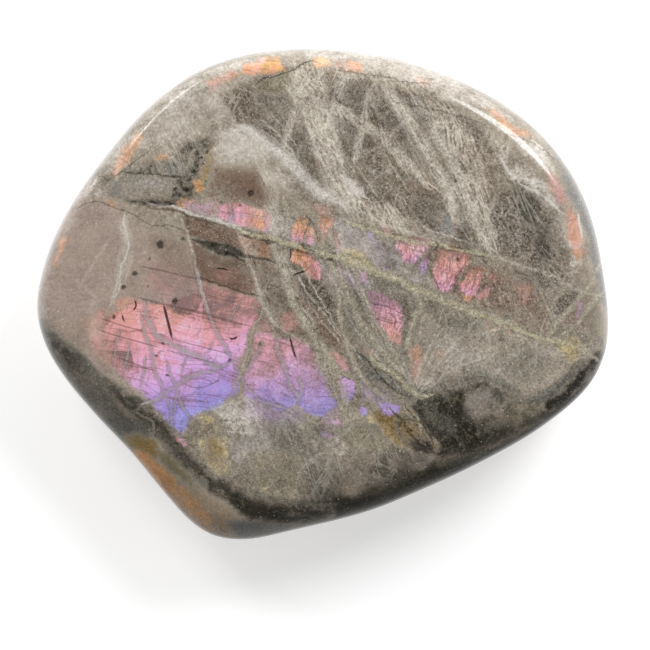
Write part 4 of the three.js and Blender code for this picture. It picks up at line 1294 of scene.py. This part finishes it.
    # Lines over all of it.
    ground = draw_lines(ground, mark, place, grain, felt, tuft, cloud)

    # Grain: light and dark by turns, dark and light points, and crystals that shine.
    fine = noise(place, 0.62, 2, 0.8)
    speckle = ((fine - 0.5) * 1.6 + (felt - 0.5) * 0.4) * (rugged * 0.75 + 0.25)
    shade = 0.97 - rugged * 0.08 + speckle * (1 - panes * 0.5)
    shade = shade + ((tuft - 0.5) * 0.7 + (cloud - 0.5) * 0.5) * rugged * (1 - smoky * 0.5)
    ground = add(tree, "ShaderNodeVectorMath", {"operation": "SCALE"}, {0: ground, 3: shade})
    dusky = 1 - (dark + smoky * 0.4) * 0.7
    ground = mix(ground, BLACK, rise(felt, 0.46, 0.28) * 0.16 * rugged * open_stone)
    ground = mix(ground, BLACK, rise(grain, 0.48, 0.24) * 0.34 * (rugged * 0.8 + 0.2))
    ground = mix(ground, MILK, rise(grain, 0.56, 0.76) * 0.65 * (rugged * 0.9 + 0.1) * dusky)
    ground = mix(ground, CRYSTAL, sparkle(place, 0.9, 0.15, 0.35) * 0.7)
    ground = mix(ground, FLAKE, sparkle(place, 1.3, 0.30, 0.30) * 0.4 * (fibre * 0.6 + 0.4))

    gloss = rise(felt, 0.3, 0.8) * 0.05 + 0.07
    pits = add(tree, "ShaderNodeBump", None, {"Strength": 0.05, "Distance": 0.0002, "Height": grain})
    inputs = {"Base Color": ground, "Roughness": gloss, "Normal": pits, "IOR": 1.56,
              "Specular IOR Level": 0.25, "Coat Weight": 0.2, "Coat Roughness": 0.02, "Coat IOR": 1.5}
    surface = add(tree, "ShaderNodeBsdfPrincipled", None, inputs)
    add(tree, "ShaderNodeOutputMaterial", None, [surface])
    return material


def plain(name, colour, roughness, glow):
    material = bpy.data.materials.new(name)
    material.use_nodes = True
    shader = material.node_tree.nodes["Principled BSDF"]
    shader.inputs["Base Color"].default_value = colour
    shader.inputs["Roughness"].default_value = roughness
    shader.inputs["Emission Color"].default_value = colour
    shader.inputs["Emission Strength"].default_value = glow
    return material


def lay_floor():
    deselect()
    bpy.ops.mesh.primitive_plane_add(size=FLOOR_SIDE, location=(0, 0, -FLOOR_GAP))
    floor = bpy.context.object
    floor.name = "floor"
    floor.visible_glossy = False
    floor.data.materials.append(plain("white_paper", PAPER, 0.9, 0.5))
    bpy.ops.object.transform_apply(location=True, rotation=True, scale=True)


def hang_softbox(name, heading, height, distance, size, power):
    """A softbox that faces the stone from a heading and a height in degrees."""
    turn, lift = np.radians([heading, height])
    spot = Vector((np.cos(turn) * np.cos(lift), np.sin(turn) * np.cos(lift), np.sin(lift))) * distance
    bpy.ops.object.light_add(type="AREA", location=spot)
    box = bpy.context.object
    box.name = name
    box.rotation_euler = spot.to_track_quat("Z", "Y").to_euler()
    box.data.shape = "ELLIPSE"
    box.data.size, box.data.size_y = size
    box.data.energy = power


def light_studio():
    """A white room with a dark ceiling, and two softboxes that gleam along the stone's upper edge."""
    deselect()
    hang_softbox("right_softbox", 48, 46, 0.9, (0.34, 0.36), 4.1)
    hang_softbox("left_softbox", 126, 46, 0.9, (0.30, 0.28), 2.0)
    world = bpy.data.worlds.new("white_room")
    bpy.context.scene.world = world
    world.use_nodes = True
    tree = world.node_tree
    tree.nodes.clear()
    _, back, up = parts_of(add(tree, "ShaderNodeTexCoord"))
    behind = rise(back, -0.55, 0.35)
    low = rise(up, 0.85, 0.5)
    level = 0.10 + low * (0.12 + behind * 1.02)
    glow = add(tree, "ShaderNodeCombineXYZ", None, [level, level, level])
    background = add(tree, "ShaderNodeBackground", None, [glow, 1.0])
    add(tree, "ShaderNodeOutputWorld", None, [background])


def aim_camera():
    bpy.ops.object.camera_add(location=Vector((*CAMERA_XY, WIDEST_Z + CAMERA_RISE)) / MM)
    camera = bpy.context.object
    camera.name = "camera"
    camera.data.sensor_width = SENSOR_MM
    camera.data.lens = SENSOR_MM * CAMERA_RISE / (PHOTO_SIDE * MM_PER_PIXEL)
    camera.data.clip_start = 0.01
    bpy.context.scene.camera = camera


aim_camera()
skin = polished_skin()
points = np.array([v.co for v in skin.data.vertices]) * MM
homes = hold_marks(skin, stone_marks(points))
skin.data.materials.clear()
skin.data.materials.append(labradorite(homes))
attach(skin, "root")
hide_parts("labradorite_stone")
lay_floor()
light_studio()
bpy.context.scene.view_settings.view_transform = "Standard"
